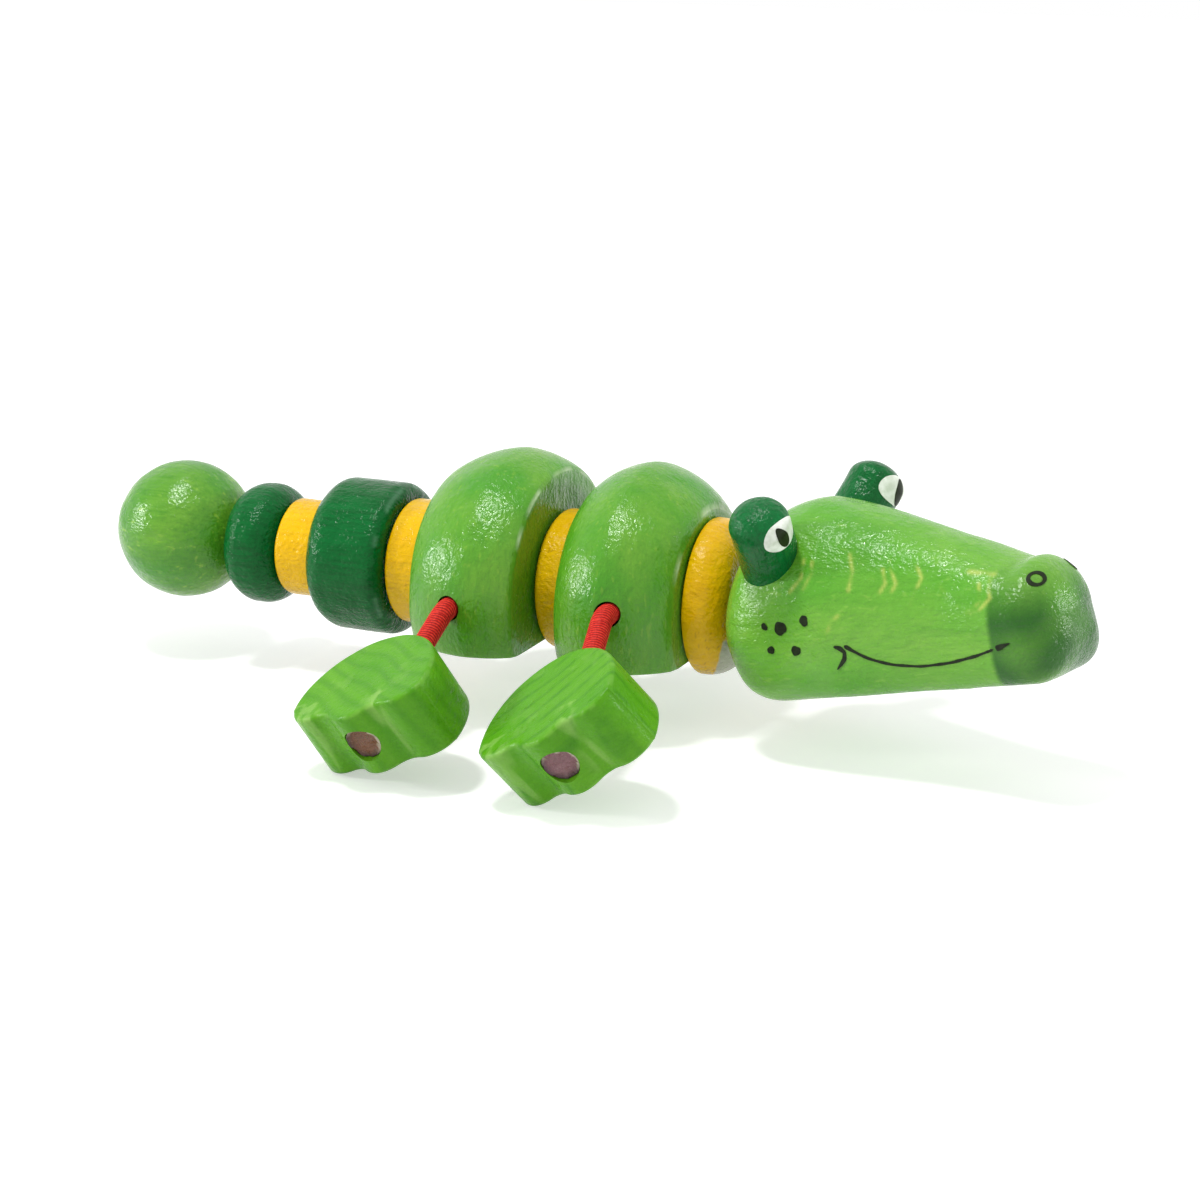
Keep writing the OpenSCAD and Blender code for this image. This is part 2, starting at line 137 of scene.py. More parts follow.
white_sheet, tree = new_material("white_sheet")
place = added(tree, "TexCoord", {}).outputs["Object"]
distance = added(tree, "VectorMath", {0: place}, operation="LENGTH").outputs["Value"]
# The lamps fade with distance, so the sheet's own light makes up for it far from the toy
glow = added(tree, "MapRange", {"Value": distance, "From Min": 0.25, "From Max": 0.9,
                                "To Min": 0.46, "To Max": 0.8}).outputs["Result"]
seen_glow = added(tree, "Math", {0: glow, 1: rays_that_see(tree)}, operation="MULTIPLY").outputs[0]
feed(tree.nodes["Principled BSDF"], {
    "Base Color": (0.82, 0.82, 0.82, 1), "Roughness": 0.9, "Specular IOR Level": 0.1,
    "Emission Color": (1, 1, 1, 1), "Emission Strength": seen_glow})
sheet.materials.append(white_sheet)

world = bpy.data.worlds.new("daylight")
bpy.context.scene.world = world
world.use_nodes = True
tree = world.node_tree
level = added(tree, "MapRange", {"Value": rays_that_see(tree), "To Min": 0.6, "To Max": 1.0})
feed(tree.nodes["Background"], {"Strength": level.outputs["Result"], "Color": (1, 1, 1, 1)})

# Each lamp: the way to it from the toy's middle, its distance, width and height in metres, and its watts
for name, direction, distance, wide, high, power in (
        ("overhead_box", (-0.12, -0.25, 0.95), 0.62, 0.10, 0.08, 2.2),
        ("tail_side_box", (-0.86, -0.42, 0.26), 0.75, 0.09, 0.11, 2.0),
        ("nose_side_box", (0.93, 0.28, 0.26), 0.70, 0.09, 0.10, 1.3)):
    lamp = bpy.data.lights.new(name, "AREA")
    lamp.shape = "RECTANGLE"
    lamp.size = wide
    lamp.size_y = high
    lamp.energy = power
    aim = unit(np.array(direction))
    put(name, lamp).matrix_world = look_at(spine + [-0.02, 0, 0] + aim * distance, -aim)


# The two body blocks
# Turned beech with a round back and a sawn flat belly, stained light green and lacquered.
# The spine's cord runs through them, and each leg's cord is glued in a hole in the side.

# In mm: the bores' radius, and how far they lie over the middle of the block's round outside
bore_r, bore_rise = 2.25, 1.9
# The cord's radius, the gap between two lengths of it, and the radius of the legs' side holes
cord_r, cord_gap, side_hole_r = 1.75, 0.2, 2.1
hands = ((-1, "right"), (1, "left"))


def mm_box(node):
    """Lowest and highest corner of a plain solid, in mm from where the cord leaves the front block's face."""
    return np.round((np.array(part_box(node)) - spine) * 1000, 4)


def side_hole(end, side):
    """Where a leg's cord bends at the mouth of its side hole, in mm. The plain cord in the hole stops short
    of the bend by the cord's radius and the gap between lengths of cord."""
    low, high = mm_box(f"leg_root_{end}_right")
    return np.array([(low[0] + high[0]) / 2, side * (cord_r + cord_gap - low[1]), (low[2] + high[2]) / 2])


def mixed(tree, factor, first, second):
    """The first colour, going over to the second as the factor goes from 0 to 1."""
    colours = {"Factor": factor, "A": first, "B": second}
    return added(tree, "Mix", colours, data_type="RGBA").outputs["Result"]


def stained_grain():
    """Group: broad tone, fine fibres along the second axis and lacquer waves, all read from a place in mm."""
    group = bpy.data.node_groups.new("stained_grain", "ShaderNodeTree")
    for label, kind in (("Place", "Vector"), ("Stain", "Color"), ("Pale", "Color"), ("Deep", "Color"),
                        ("Fibre", "Float"), ("Fleck", "Float"), ("Gloss", "Float")):
        group.interface.new_socket(label, in_out="INPUT", socket_type="NodeSocket" + kind)
    for label, kind in (("Colour", "Color"), ("Roughness", "Float"), ("Height", "Float")):
        group.interface.new_socket(label, in_out="OUTPUT", socket_type="NodeSocket" + kind)
    given = group.nodes.new("NodeGroupInput").outputs

    def noise(scale, stretch, detail, rough):
        place = added(group, "VectorMath", {0: given["Place"], 1: stretch}, operation="MULTIPLY").outputs[0]
        cloud = {"Vector": place, "Scale": scale, "Detail": detail, "Roughness": rough}
        return added(group, "TexNoise", cloud).outputs["Fac"]

    def spread(value, low, high, to_low, to_high):
        span = {"Value": value, "From Min": low, "From Max": high, "To Min": to_low, "To Max": to_high}
        return added(group, "MapRange", span).outputs["Result"]

    def both(operation, first, second):
        return added(group, "Math", {0: first, 1: second}, operation=operation).outputs[0]

    tone = noise(0.09, (1, 0.5, 1), 3, 0.5)
    fibre = noise(1.5, (1, 0.09, 1), 4, 0.6)
    ray = noise(1.1, (1, 0.3, 1), 2, 0.5)
    peel = noise(0.75, (1, 0.75, 1), 2.5, 0.5)
    wave = noise(0.22, (1, 0.8, 1), 1, 0.4)
    crinkle = noise(1.9, (1, 0.7, 1), 2, 0.5)
    fibres = both("MULTIPLY", spread(fibre, 0.42, 0.72, 0.0, 1.0), given["Fibre"])
    flecks = both("MULTIPLY", spread(ray, 0.62, 0.72, 0.0, 1.0), given["Fleck"])
    tint = mixed(group, spread(tone, 0.35, 0.68, 0.0, 0.5), given["Stain"], given["Pale"])
    tint = mixed(group, fibres, tint, given["Deep"])
    tint = mixed(group, flecks, tint, given["Pale"])
    dull = both("ADD", given["Gloss"], spread(peel, 0.3, 0.7, -0.05, 0.09))
    puckered = both("ADD", spread(peel, 0.3, 0.7, 0.0, 0.6), spread(crinkle, 0.3, 0.7, 0.0, 0.45))
    wavy = both("ADD", spread(fibre, 0.3, 0.7, 0.0, 0.25), spread(wave, 0.3, 0.7, 0.0, 1.2))
    handed_back = group.nodes.new("NodeGroupOutput")
    feed(handed_back, {"Colour": tint, "Roughness": dull, "Height": both("ADD", puckered, wavy)})
    return group


grain_group = stained_grain()


def stained_wood(name, stain, pale, deep, fibre=0.35, fleck=0.3, gloss=0.2, bump=0.00012, shine=0.36,
                 wear_and_painted_light=None):
    """Material: the grain group on the piece's own wood_mm attribute. The last argument gives, for each
    attribute that marks a place, the colour that shows there instead of the stain: real wear and marks, and
    also painted highlights and painted shade."""
    material, tree = new_material(name)
    place = added(tree, "Attribute", {}, attribute_name="wood_mm").outputs["Vector"]
    grain = added(tree, "Group", {"Place": place, "Stain": stain, "Pale": pale, "Deep": deep, "Fibre": fibre,
                                  "Fleck": fleck, "Gloss": gloss}, node_tree=grain_group).outputs
    colour = grain["Colour"]
    for label, overlay_colour in (wear_and_painted_light or {}).items():
        mask = added(tree, "Attribute", {}, attribute_name=label).outputs["Fac"]
        colour = mixed(tree, mask, colour, overlay_colour)
    raised = added(tree, "Bump", {"Strength": 1.0, "Distance": bump, "Height": grain["Height"]})
    feed(tree.nodes["Principled BSDF"], {
        "Base Color": colour, "Roughness": grain["Roughness"], "Normal": raised.outputs["Normal"],
        "Specular IOR Level": shine})
    return material


def once_round(count):
    """Evenly spaced angles once round a circle."""
    return np.linspace(0, 2 * np.pi, count, endpoint=False)


def skin(name, grid, closed=False):
    """Mesh over a grid of points: columns join round, and rows join too where closed; else a pole shuts each
    end."""
    rows, columns = grid.shape[:2]
    points = grid.reshape(-1, 3)
    r, c = np.meshgrid(np.arange(rows if closed else rows - 1), np.arange(columns), indexing="ij")
    r, c = r.ravel(), c.ravel()
    below, beside = (r + 1) % rows, (c + 1) % columns
    quads = np.stack([r * columns + c, r * columns + beside,
                      below * columns + beside, below * columns + c], 1)
    faces = quads.tolist()
    if not closed:
        points = np.concatenate([points, grid[:1].mean(1), grid[-1:].mean(1)])
        around = np.arange(columns)
        after = (around + 1) % columns
        top, last = rows * columns, (rows - 1) * columns
        faces += np.stack([after, around, np.full(columns, top)], 1).tolist()
        faces += np.stack([last + around, last + after, np.full(columns, top + 1)], 1).tolist()
    mesh = bpy.data.meshes.new(name)
    mesh.from_pydata(points.tolist(), [], faces)
    mesh.update()
    return mesh


def solid_piece(name, mesh):
    """Object at the origin with its faces turned outwards."""
    shell = bmesh.new()
    shell.from_mesh(mesh)
    bmesh.ops.remove_doubles(shell, verts=shell.verts, dist=1e-7)
    bmesh.ops.recalc_face_normals(shell, faces=shell.faces)
    shell.to_mesh(mesh)
    shell.free()
    return put(name, mesh)


def places(piece):
    """The piece's points as an array, in metres."""
    flat = np.zeros(len(piece.data.vertices) * 3)
    piece.data.vertices.foreach_get("co", flat)
    return flat.reshape(-1, 3)


def note(piece, label, values):
    """Stores a number or a vector for each point."""
    values = np.asarray(values, float)
    kind, field = ("FLOAT", "value") if values.ndim == 1 else ("FLOAT_VECTOR", "vector")
    noted = piece.data.attributes.new(label, kind, "POINT").data
    noted.foreach_set(field, values.ravel().astype(np.float32))


def as_modified(piece):
    """The piece's mesh with its modifiers worked in."""
    bpy.context.view_layer.update()
    return bpy.data.meshes.new_from_object(piece.evaluated_get(bpy.context.evaluated_depsgraph_get()))


def drilled(piece, holes):
    """Cuts straight round holes, each (start, end, radius) in metres, and keeps crisp rims."""
    for start, end, radius in holes:
        along = unit(end - start)
        side = unit(np.cross(along, [0.3, 0.5, 0.81]))
        turn = once_round(48)[:, None]
        ring = radius * (np.cos(turn) * side + np.sin(turn) * np.cross(along, side))
        drill = solid_piece("drill", skin("drill", np.stack([start + ring, end + ring])))
        cut = piece.modifiers.new("hole", "BOOLEAN")
        cut.object = drill
        cut.solver = "EXACT"
        whole = as_modified(piece)
        piece.modifiers.clear()
        piece.data = whole
        bpy.data.objects.remove(drill)


def finish_piece(piece, material, body, slot, *nodes):
    """Smooth shading with crisp rims over 35 degrees, then the material; hides the plain solids it stands for
    and hangs the piece on its body.
    """
    piece.data.shade_smooth()
    piece.data.set_sharp_from_angle(angle=math.radians(35))
    piece.data.materials.clear()
    piece.data.materials.append(material)
    if nodes:
        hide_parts(*nodes)
    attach(piece, body)


def waviness(points, size, height, seed, waves=24):
    """Hand-finished unevenness: sine waves in random directions, about size long. Two dozen of them add up to
    about five times one, so each is a fifth of the height."""
    rng = np.random.default_rng(seed)
    ways = unit(rng.normal(size=(waves, 3)))
    lengths = size * rng.uniform(0.7, 1.6, waves)
    phases = rng.uniform(0, 2 * np.pi, waves)
    return np.sin(points @ (ways / lengths[:, None] * 2 * np.pi).T + phases).sum(-1) * height / 5


def surface_normals(grid):
    """Unit normals of a grid from the cross product of its two directions, columns wrapping round."""
    down = np.gradient(grid, axis=0)
    across = np.roll(grid, -1, 1) - np.roll(grid, 1, 1)
    normal = np.cross(across, down)
    return normal / np.maximum(np.linalg.norm(normal, axis=-1, keepdims=True), 1e-12)


def block_radius(back, wide, face, shoulder, length, rear, shoulder_power=1.5, back_power=1.6):
    """Radius at a distance behind the face: a blunt front shoulder, then a quarter of an oval to the flat
    back. Each is a curve where two shares, raised to its power, add up to 1."""
    ahead = np.clip((shoulder - back) / shoulder, 0, 1)
    behind = np.clip((back - shoulder) / (length - shoulder), 0, 1)
    rise = (1 - ahead ** shoulder_power) ** (1 / shoulder_power)
    fall = (1 - behind ** back_power) ** (1 / back_power)
    return np.where(back < shoulder, face + (wide - face) * rise, rear + (wide - rear) * fall)


def block_surface(face_x, wide, face, shoulder, length, rear, seed, rim=0.35, chamfer=0.3, soft=0.7,
                  sanded=0.05):
    """The block's outline from the bore, over the face, the round top and the back, and home through the
    bore. Each outline point becomes a circle, lower by bore_rise on the outside. Below the belly it is
    pressed flat: half the sum of the height over the belly and the root of its square plus soft."""
    share = (1 - np.cos(np.linspace(0, np.pi, 120))) / 2
    back = length * share
    outside = block_radius(back, wide, face, shoulder, length, rear)
    steps = np.linspace(0, 1, 26)
    inner = bore_r + chamfer
    front = np.stack([np.zeros(26), inner + (face - rim - inner) * steps], 1)
    behind = np.stack([np.full(26, length), rear - rim - (rear - rim - inner) * steps], 1)
    keep = (back > rim) & (back < length - rim)
    corner_in, corner_down = 0.08, 0.12
    outline = np.concatenate([[[length / 2, bore_r], [chamfer, bore_r]], front,
                              [[corner_in, face - corner_down]], np.stack([back[keep], outside[keep]], 1),
                              [[length - corner_in, rear - corner_down]], behind,
                              [[length - chamfer, bore_r]]])
    depth, radius = outline[:, 0], outline[:, 1]
    low = bore_rise * np.clip((radius - bore_r) / (face - bore_r), 0, 1)
    turns = once_round(320)
    y = radius[:, None] * np.sin(turns)
    z = -low[:, None] + radius[:, None] * np.cos(turns)
    over = z + belly
    z = -belly + (over + np.sqrt(over ** 2 + soft)) / 2
    grid = np.stack([np.broadcast_to(face_x - depth[:, None], y.shape), y, z], -1)
    relief = waviness(grid, 7.0, 0.035, seed) * np.clip((radius[:, None] - bore_r - 1) / 3, 0, 1)
    normal = surface_normals(grid)
    outward = np.sign((normal * (grid - [face_x - length / 2, 0, -2])).sum(-1))[..., None]
    return grid - normal * outward * (sanded + relief[..., None])


# The pale colour on the blocks' face rims is a painted highlight
light_green = stained_wood("light_green_lacquer", linear(72, 148, 30), linear(136, 180, 60),
                           linear(58, 128, 30), fleck=0.35, gloss=0.19,
                           wear_and_painted_light={"rim_highlight_and_wear": linear(214, 232, 190)})
blocks = {
    "front": dict(wide=22.8, face=16.2, shoulder=10.6, rear=17.0, seed=3),
    "rear": dict(wide=23.0, face=20.0, shoulder=8.0, rear=17.0, seed=4),
}
for end, block in blocks.items():
    low, high = mm_box(f"{end}_body")
    name, face_x = f"{end}_block", high[0]
    grid = block_surface(face_x=face_x, length=high[0] - low[0], **block)
    piece = solid_piece(name, skin(name, spine + grid / 1000, closed=True))
    holes = []
    for side, _ in hands:
        mouth_x, _, mouth_z = side_hole(end, side)
        depths = [spine + np.array([mouth_x, side * out, mouth_z]) / 1000 for out in (7, 30)]
        holes.append((*depths, side_hole_r / 1000))
    drilled(piece, holes)
    local = (places(piece) - spine) * 1000
    note(piece, "wood_mm", local[:, [0, 2, 1]] + [40 * block["seed"], 0, 7])
    # A painted highlight lies pale along the face's rim, in a ragged arc that leans to the right of the top
    rim_wide, rim_deep, arc_half, arc_right, arc_fade = 0.28, 0.6, 50, 15, 12
    depth = face_x - local[:, 0]
    away = np.hypot(local[:, 1], local[:, 2] + bore_rise)
    rim = np.exp(-((away - block["face"]) / rim_wide) ** 2) * (depth < rim_deep)
    from_top = np.degrees(np.arctan2(local[:, 1], local[:, 2] + bore_rise))
    rim = rim * np.clip((arc_half - np.abs(from_top + arc_right)) / arc_fade, 0, 1)
    ragged = 0.5 + 0.5 * waviness(local, 5.0, 2.0, 9)
    note(piece, "rim_highlight_and_wear", np.clip(rim * np.clip(ragged, 0, 1), 0, 1) * 0.9)
    finish_piece(piece, light_green, f"{end}_body", "light_green_wood", f"{end}_body")


# Rings and beads on the spine
# Turned beech: yellow rings, a dark green collar and tail bead, and the light green ball
# that ends the tail. All but the ball are bored through and turn freely on the cord.

# In mm: the radius of the neck ring's flat seat, the rings' round edges, and the eased rim of each bore
seat_r, ring_edge, rim_ease = 7.4, 0.8, 0.25


def along_spine(node):
    """Where a turned piece starts, how long it is and its radius, in mm, from its plain solid."""
    low, high = mm_box(node)
    return low[0], np.round(high[0] - low[0], 4), -low[2]


def turned(outline, rise=0.0, around=200):
    """Surface of revolution about the spine: outline points are (place along the spine, radius), in mm.
    rise lifts the circles that lie further out than the bore."""
    outline = np.asarray(outline, float)
    turns = once_round(around)
    y = outline[:, 1:] * np.sin(turns)
    z = outline[:, 1:] * np.cos(turns) + rise * np.clip(outline[:, 1:] - (bore_r + 0.15), 0, 1)
    return np.stack([np.broadcast_to(outline[:, :1], y.shape), y, z], -1)


def disc_outline(start, thick, radius, rear_edge, front_edge):
    """Outline of a disc with a round rear edge and a round front edge, from its bore and home again."""
    end, inner = start + thick, bore_r + rim_ease
    quarter = np.linspace(0, np.pi / 2, 14)
    inwards, downwards = 1 - np.sin(quarter), 1 - np.cos(quarter)
    rear = np.stack([start + rear_edge * inwards, radius - rear_edge * downwards], 1)[::-1]
    front = np.stack([end - front_edge * inwards, radius - front_edge * downwards], 1)
    rim = np.stack([np.linspace(rear[-1, 0], front[0, 0], 18)[1:-1], np.full(16, radius)], 1)
    steps = np.linspace(0, 1, 14)[:-1]
    out = np.stack([np.full(13, start), inner + (radius - rear_edge - inner) * steps], 1)
    home = np.stack([np.full(13, end), inner + (radius - front_edge - inner) * steps[::-1]], 1)
    return np.concatenate([[[start + thick / 2, bore_r], [start + rim_ease, bore_r]], out, rear, rim, front,
                           home, [[end - rim_ease, bore_r]]])


def neck_outline(start, thick, radius, rim=1.2):
    """Outline of the neck ring: a short straight rim, then a quarter of an oval up to the flat seat for the
    head."""
    end, inner = start + thick, bore_r + rim_ease
    quarter = np.linspace(0, np.pi / 2, 34)
    dome = np.stack([start + rim + (thick - rim) * np.sin(quarter),
                     seat_r + (radius - seat_r) * np.cos(quarter)], 1)
    steps = np.linspace(0, 1, 14)
    back = np.stack([np.full(14, start), inner + (radius - 0.35 - inner) * steps], 1)
    flat = np.stack([np.full(9, end), seat_r - (seat_r - inner) * np.linspace(0, 1, 10)[1:]], 1)
    return np.concatenate([[[start + thick / 2, bore_r], [start + rim_ease, bore_r]], back,
                           [[start + 0.12, radius - 0.1], [start + 0.4, radius], [start + 0.8, radius]],
                           dome, flat, [[end - rim_ease, bore_r]]])


def turned_piece(name, outline, seed, rise=0.0, closed=True, relief=0.03, even_to=3.5):
    """A turned piece with a little hand-sanded unevenness outside its bore, and grain along the spine."""
    grid = turned(outline, rise)
    spread = np.clip((np.hypot(grid[..., 1], grid[..., 2]) - even_to) / 3, 0, 1)
    normal = surface_normals(grid)
    centre = grid.reshape(-1, 3).mean(0)
    outward = np.sign((normal * (grid - centre)).sum(-1))
    grid = grid - normal * (outward * spread * (relief + waviness(grid, 6.0, relief, seed)))[..., None]
    piece = solid_piece(name, skin(name, spine + grid / 1000, closed))
    local = (places(piece) - spine) * 1000
    note(piece, "wood_mm", local[:, [1, 0, 2]] + [31 * seed, 0, 0])
    return piece, local


yellow = stained_wood("yellow_lacquer", linear(232, 178, 0), linear(248, 202, 18), linear(200, 142, 2),
                      fibre=0.3, gloss=0.19, bump=0.00016, shine=0.2,
                      wear_and_painted_light={"crackle": linear(150, 96, 20), "bare_wood": linear(190, 188, 172)})
dark_green = stained_wood("dark_green_lacquer", linear(0, 92, 40), linear(2, 114, 54), linear(0, 60, 26),
                          fibre=0.5, gloss=0.14, bump=0.00016, shine=0.15,
                          wear_and_painted_light={"rim_highlight_and_wear": linear(120, 170, 140)})

neck, local = turned_piece("neck_bead", neck_outline(*along_spine("neck_ring")), 11, relief=0.04)
# Low on the ring's right side the stain stopped at a slanting line, and bare wood shows beyond it
stain_end, beyond_way = [6.0, -9.05, -4.41], [0.918, 0.349, -0.192]
beyond = (local - stain_end) @ beyond_way + waviness(local, 3.0, 0.12, 5)
low_down = np.clip((-4.4 - local[:, 2]) / 0.5, 0, 1)
outside = (local[:, 1] < 0) * (np.hypot(local[:, 1], local[:, 2]) > 4)
note(neck, "bare_wood", np.clip(beyond / 0.25, 0, 1) * low_down * outside)
# The lacquer's cracks run where a wavy field goes through nothing
cracks = np.abs(waviness(local, 7.0, 1.0, 21)) < 0.018
finer = np.abs(waviness(local, 4.0, 1.0, 22)) < 0.012
note(neck, "crackle", (cracks * 0.5 + finer * 0.35) * np.clip((3 - local[:, 2]) / 6, 0.2, 1))
finish_piece(neck, yellow, "neck_ring", "yellow_wood", "neck_ring")

for name, node, seed in (("waist_bead", "waist_ring", 12), ("tail_spacer_front", "tail_ring_front", 13),
                         ("tail_spacer_rear", "tail_ring_rear", 14)):
    piece, local = turned_piece(name, disc_outline(*along_spine(node), ring_edge, ring_edge), seed)
    note(piece, "crackle", (np.abs(waviness(local, 6.0, 1.0, seed)) < 0.01) * 0.3)
    note(piece, "bare_wood", np.zeros(len(local)))
    finish_piece(piece, yellow, node, "yellow_wood", node)

# The lacquer is worn in a thin broken line round the collar's front edge, and whole on the bead
for name, node, rear_edge, front_edge, wear, seed in (
        ("collar_bead", "tail_collar", 4.0, 2.5, 0.35, 15),
        ("tail_round_bead", "tail_bead", 4.6, 4.6, 0.0, 16)):
    start, thick, radius = along_spine(node)
    piece, local = turned_piece(name, disc_outline(start, thick, radius, rear_edge, front_edge), seed,
                                relief=0.05)
    away = np.hypot(local[:, 1], local[:, 2])
    at_front = local[:, 0] > start + thick - front_edge
    line = np.exp(-((away - radius + front_edge * 0.3) / 0.3) ** 2) * at_front
    note(piece, "rim_highlight_and_wear", wear * line * np.clip(0.4 + waviness(local, 6.0, 2.0, 8), 0, 1))
    finish_piece(piece, dark_green, node, "dark_green_wood", node)

# The ball: a flat where it meets the bead, its blind hole, and a centre a little over the cord
ball_r, flat_r, ball_rise, blind_hole = 12.1, 3.6, 0.8, 12
ball_face = mm_box("tail_ball")[1][0]
ball_x = ball_face - math.sqrt(ball_r ** 2 - flat_r ** 2)
swing = np.linspace(math.asin(flat_r / ball_r), np.pi, 110)
arc = np.stack([ball_x + ball_r * np.cos(swing), ball_r * np.sin(swing)], 1)[:-1]
hole_end = ball_face - blind_hole
ball_outline = np.concatenate([[[hole_end, 0.4], [hole_end, bore_r], [ball_face - rim_ease, bore_r],
                                [ball_face, bore_r + rim_ease], [ball_face, 3.1]], arc])
# The ball has its own, deeper copy of the light green: its stronger pale flecks are the stain's own, and its
# darker base is painted shade
shaded_ball_green = stained_wood("ball_green_lacquer", linear(64, 138, 28), linear(140, 186, 64),
                          linear(46, 118, 28), fibre=0.5, fleck=0.6, gloss=0.18)
ball, _ = turned_piece("end_ball", ball_outline, 17, rise=ball_rise, closed=False, relief=0.04)
finish_piece(ball, shaded_ball_green, "tail_ball", "light_green_wood", "tail_ball")


# The four feet
# Sawn from 12 mm board with a round heel and three toes, edges eased by tumbling.
# Each is threaded on its leg's cord, which a plug holds in the middle toe.

# In mm, with the radius of the toes and how far the outer ones stand back from the middle one
foot_wide, foot_long, foot_thick, toe, toe_back = 26.0, 20.0, 11.7, 4.9, 1.8
foot_middle = np.array([0.0, foot_long / 2])
plug_r, plug_long, plug_recess = 3.0, 2.8, 0.9
plug_back = foot_long - plug_recess - plug_long
# A leg's reach is counted from the block, and its cord bends this far outside the block
mouth_lift = 0.8
legs = {"front": dict(reach=15.8, droop=23.5, sweep=12.4, roll=34.4),
        "rear": dict(reach=14.0, droop=23.9, sweep=2.0, roll=21.4)}


def leg_axes(leg, side):
    """Three directions of a leg as rows: across the foot, along the cord, through the foot; mirrored on the
    left. The cord droops from level and sweeps forwards, and the foot rolls about it."""
    droop, sweep, roll = (math.radians(leg[key]) for key in ("droop", "sweep", "roll"))
    level = np.array([math.cos(sweep), math.sin(sweep), 0])
    along = np.array([math.cos(droop) * level[1], -math.cos(droop) * level[0], -math.sin(droop)])
    across = math.cos(roll) * level + math.sin(roll) * np.cross(along, level)
    axes = np.stack([across, along, np.cross(across, along)])
    return axes * [1, -side, 1]


def circle_exit(turns, x, y, radius):
    """How far a ray from the foot's middle runs until it leaves a circle, or 0 where it misses."""
    to = np.array([x, y]) - foot_middle
    forward = np.cos(turns) * to[0] + np.sin(turns) * to[1]
    inside = radius ** 2 - (to @ to - forward ** 2)
    return np.where(inside > 0, forward + np.sqrt(np.maximum(inside, 0)), 0)


def foot_outline(count=360, hollow=4.0):
    """Outline seen from above: the furthest of the heel circle, cut at the toes' middles, and three toe
    circles. Between two toes it follows a hollow circle that touches both."""
    heel, middle, spread = foot_wide / 2, foot_long - toe, foot_wide / 2 - toe
    turns = once_round(count)
    upwards = np.maximum(np.sin(turns), 0.01)
    cut = np.where(np.sin(turns) > 0.01, (middle - foot_middle[1]) / upwards, 1e3)
    reach = np.stack([np.minimum(circle_exit(turns, 0, heel, heel), cut),
                      circle_exit(turns, 0, middle, toe),
                      circle_exit(turns, spread, middle - toe_back, toe),
                      circle_exit(turns, -spread, middle - toe_back, toe)]).max(0)
    apart = math.hypot(spread, toe_back)
    out = math.sqrt((toe + hollow) ** 2 - apart ** 2 / 4) / apart
    for side in (-1, 1):
        between = np.array([side * (spread / 2 + toe_back * out), middle - toe_back / 2 + spread * out])
        toes = np.array([[0, middle], [side * spread, middle - toe_back]])
        touch = toes + (between - toes) * toe / (toe + hollow) - foot_middle
        low, high = np.sort(np.arctan2(touch[:, 1], touch[:, 0]))
        to = between - foot_middle
        forward = np.cos(turns) * to[0] + np.sin(turns) * to[1]
        near = forward - np.sqrt(np.maximum(hollow ** 2 - (to @ to - forward ** 2), 0))
        reach = np.where((turns > low) & (turns < high), near, reach)
    return foot_middle + np.stack([reach * np.cos(turns), reach * np.sin(turns)], 1)


def foot_surface(seed, ease=0.75):
    """The outline carried over the foot's thickness, drawn in at top and bottom by a round edge, then to the
    middle."""
    outline = foot_outline()
    way = np.roll(outline, -1, 0) - np.roll(outline, 1, 0)
    normal = unit(np.stack([way[:, 1], -way[:, 0]], 1))
    half = foot_thick / 2
    quarter = np.linspace(0, np.pi / 2, 8)
    drawn_in, climbed = ease * (1 - np.cos(quarter)), ease * (1 - np.sin(quarter))
    inset = np.concatenate([drawn_in[::-1], np.zeros(12), drawn_in])
    height = np.concatenate([-half + climbed[::-1], np.linspace(-half + ease, half - ease, 14)[1:-1],
                             half - climbed])
    walls = np.concatenate([outline[None] - normal[None] * inset[:, None, None],
                            np.broadcast_to(height[:, None, None], (len(height), len(outline), 1))], -1)
    shares = np.linspace(1, 0.02, 26)[1:, None, None]
    bottom = np.concatenate([foot_middle + (walls[0, :, :2] - foot_middle) * shares[::-1],
                             np.full((25, len(outline), 1), -half)], -1)
    top = np.concatenate([foot_middle + (walls[-1, :, :2] - foot_middle) * shares,
                          np.full((25, len(outline), 1), half)], -1)
    grid = np.concatenate([bottom, walls, top])
    return grid + waviness(grid, 8.0, 0.03, seed)[..., None] * [0.6, 0.6, 1]


def plug_surface(seed):
    """A toe plug as rings of (radius, depth from its back): a shallow uneven bowl, a rim and a flat back."""
    radii = np.array([0.03, 0.6, 1.2, 1.8, 2.3, 2.65, 2.85, 2.93, 2.93, 2.6, 1.5, 0.3])
    depth = np.array([2.45, 2.46, 2.5, 2.56, 2.64, 2.74, 2.78, 2.72, 0.1, 0.0, 0.0, 0.0])
    turns = once_round(72)
    bowl = np.stack([radii[:, None] * np.cos(turns), plug_back + depth[:, None] + 0 * turns,
                     radii[:, None] * np.sin(turns)], -1)
    bowl[:8, :, 1] += waviness(bowl[:8], 1.6, 0.14, seed) - 0.1
    return bowl


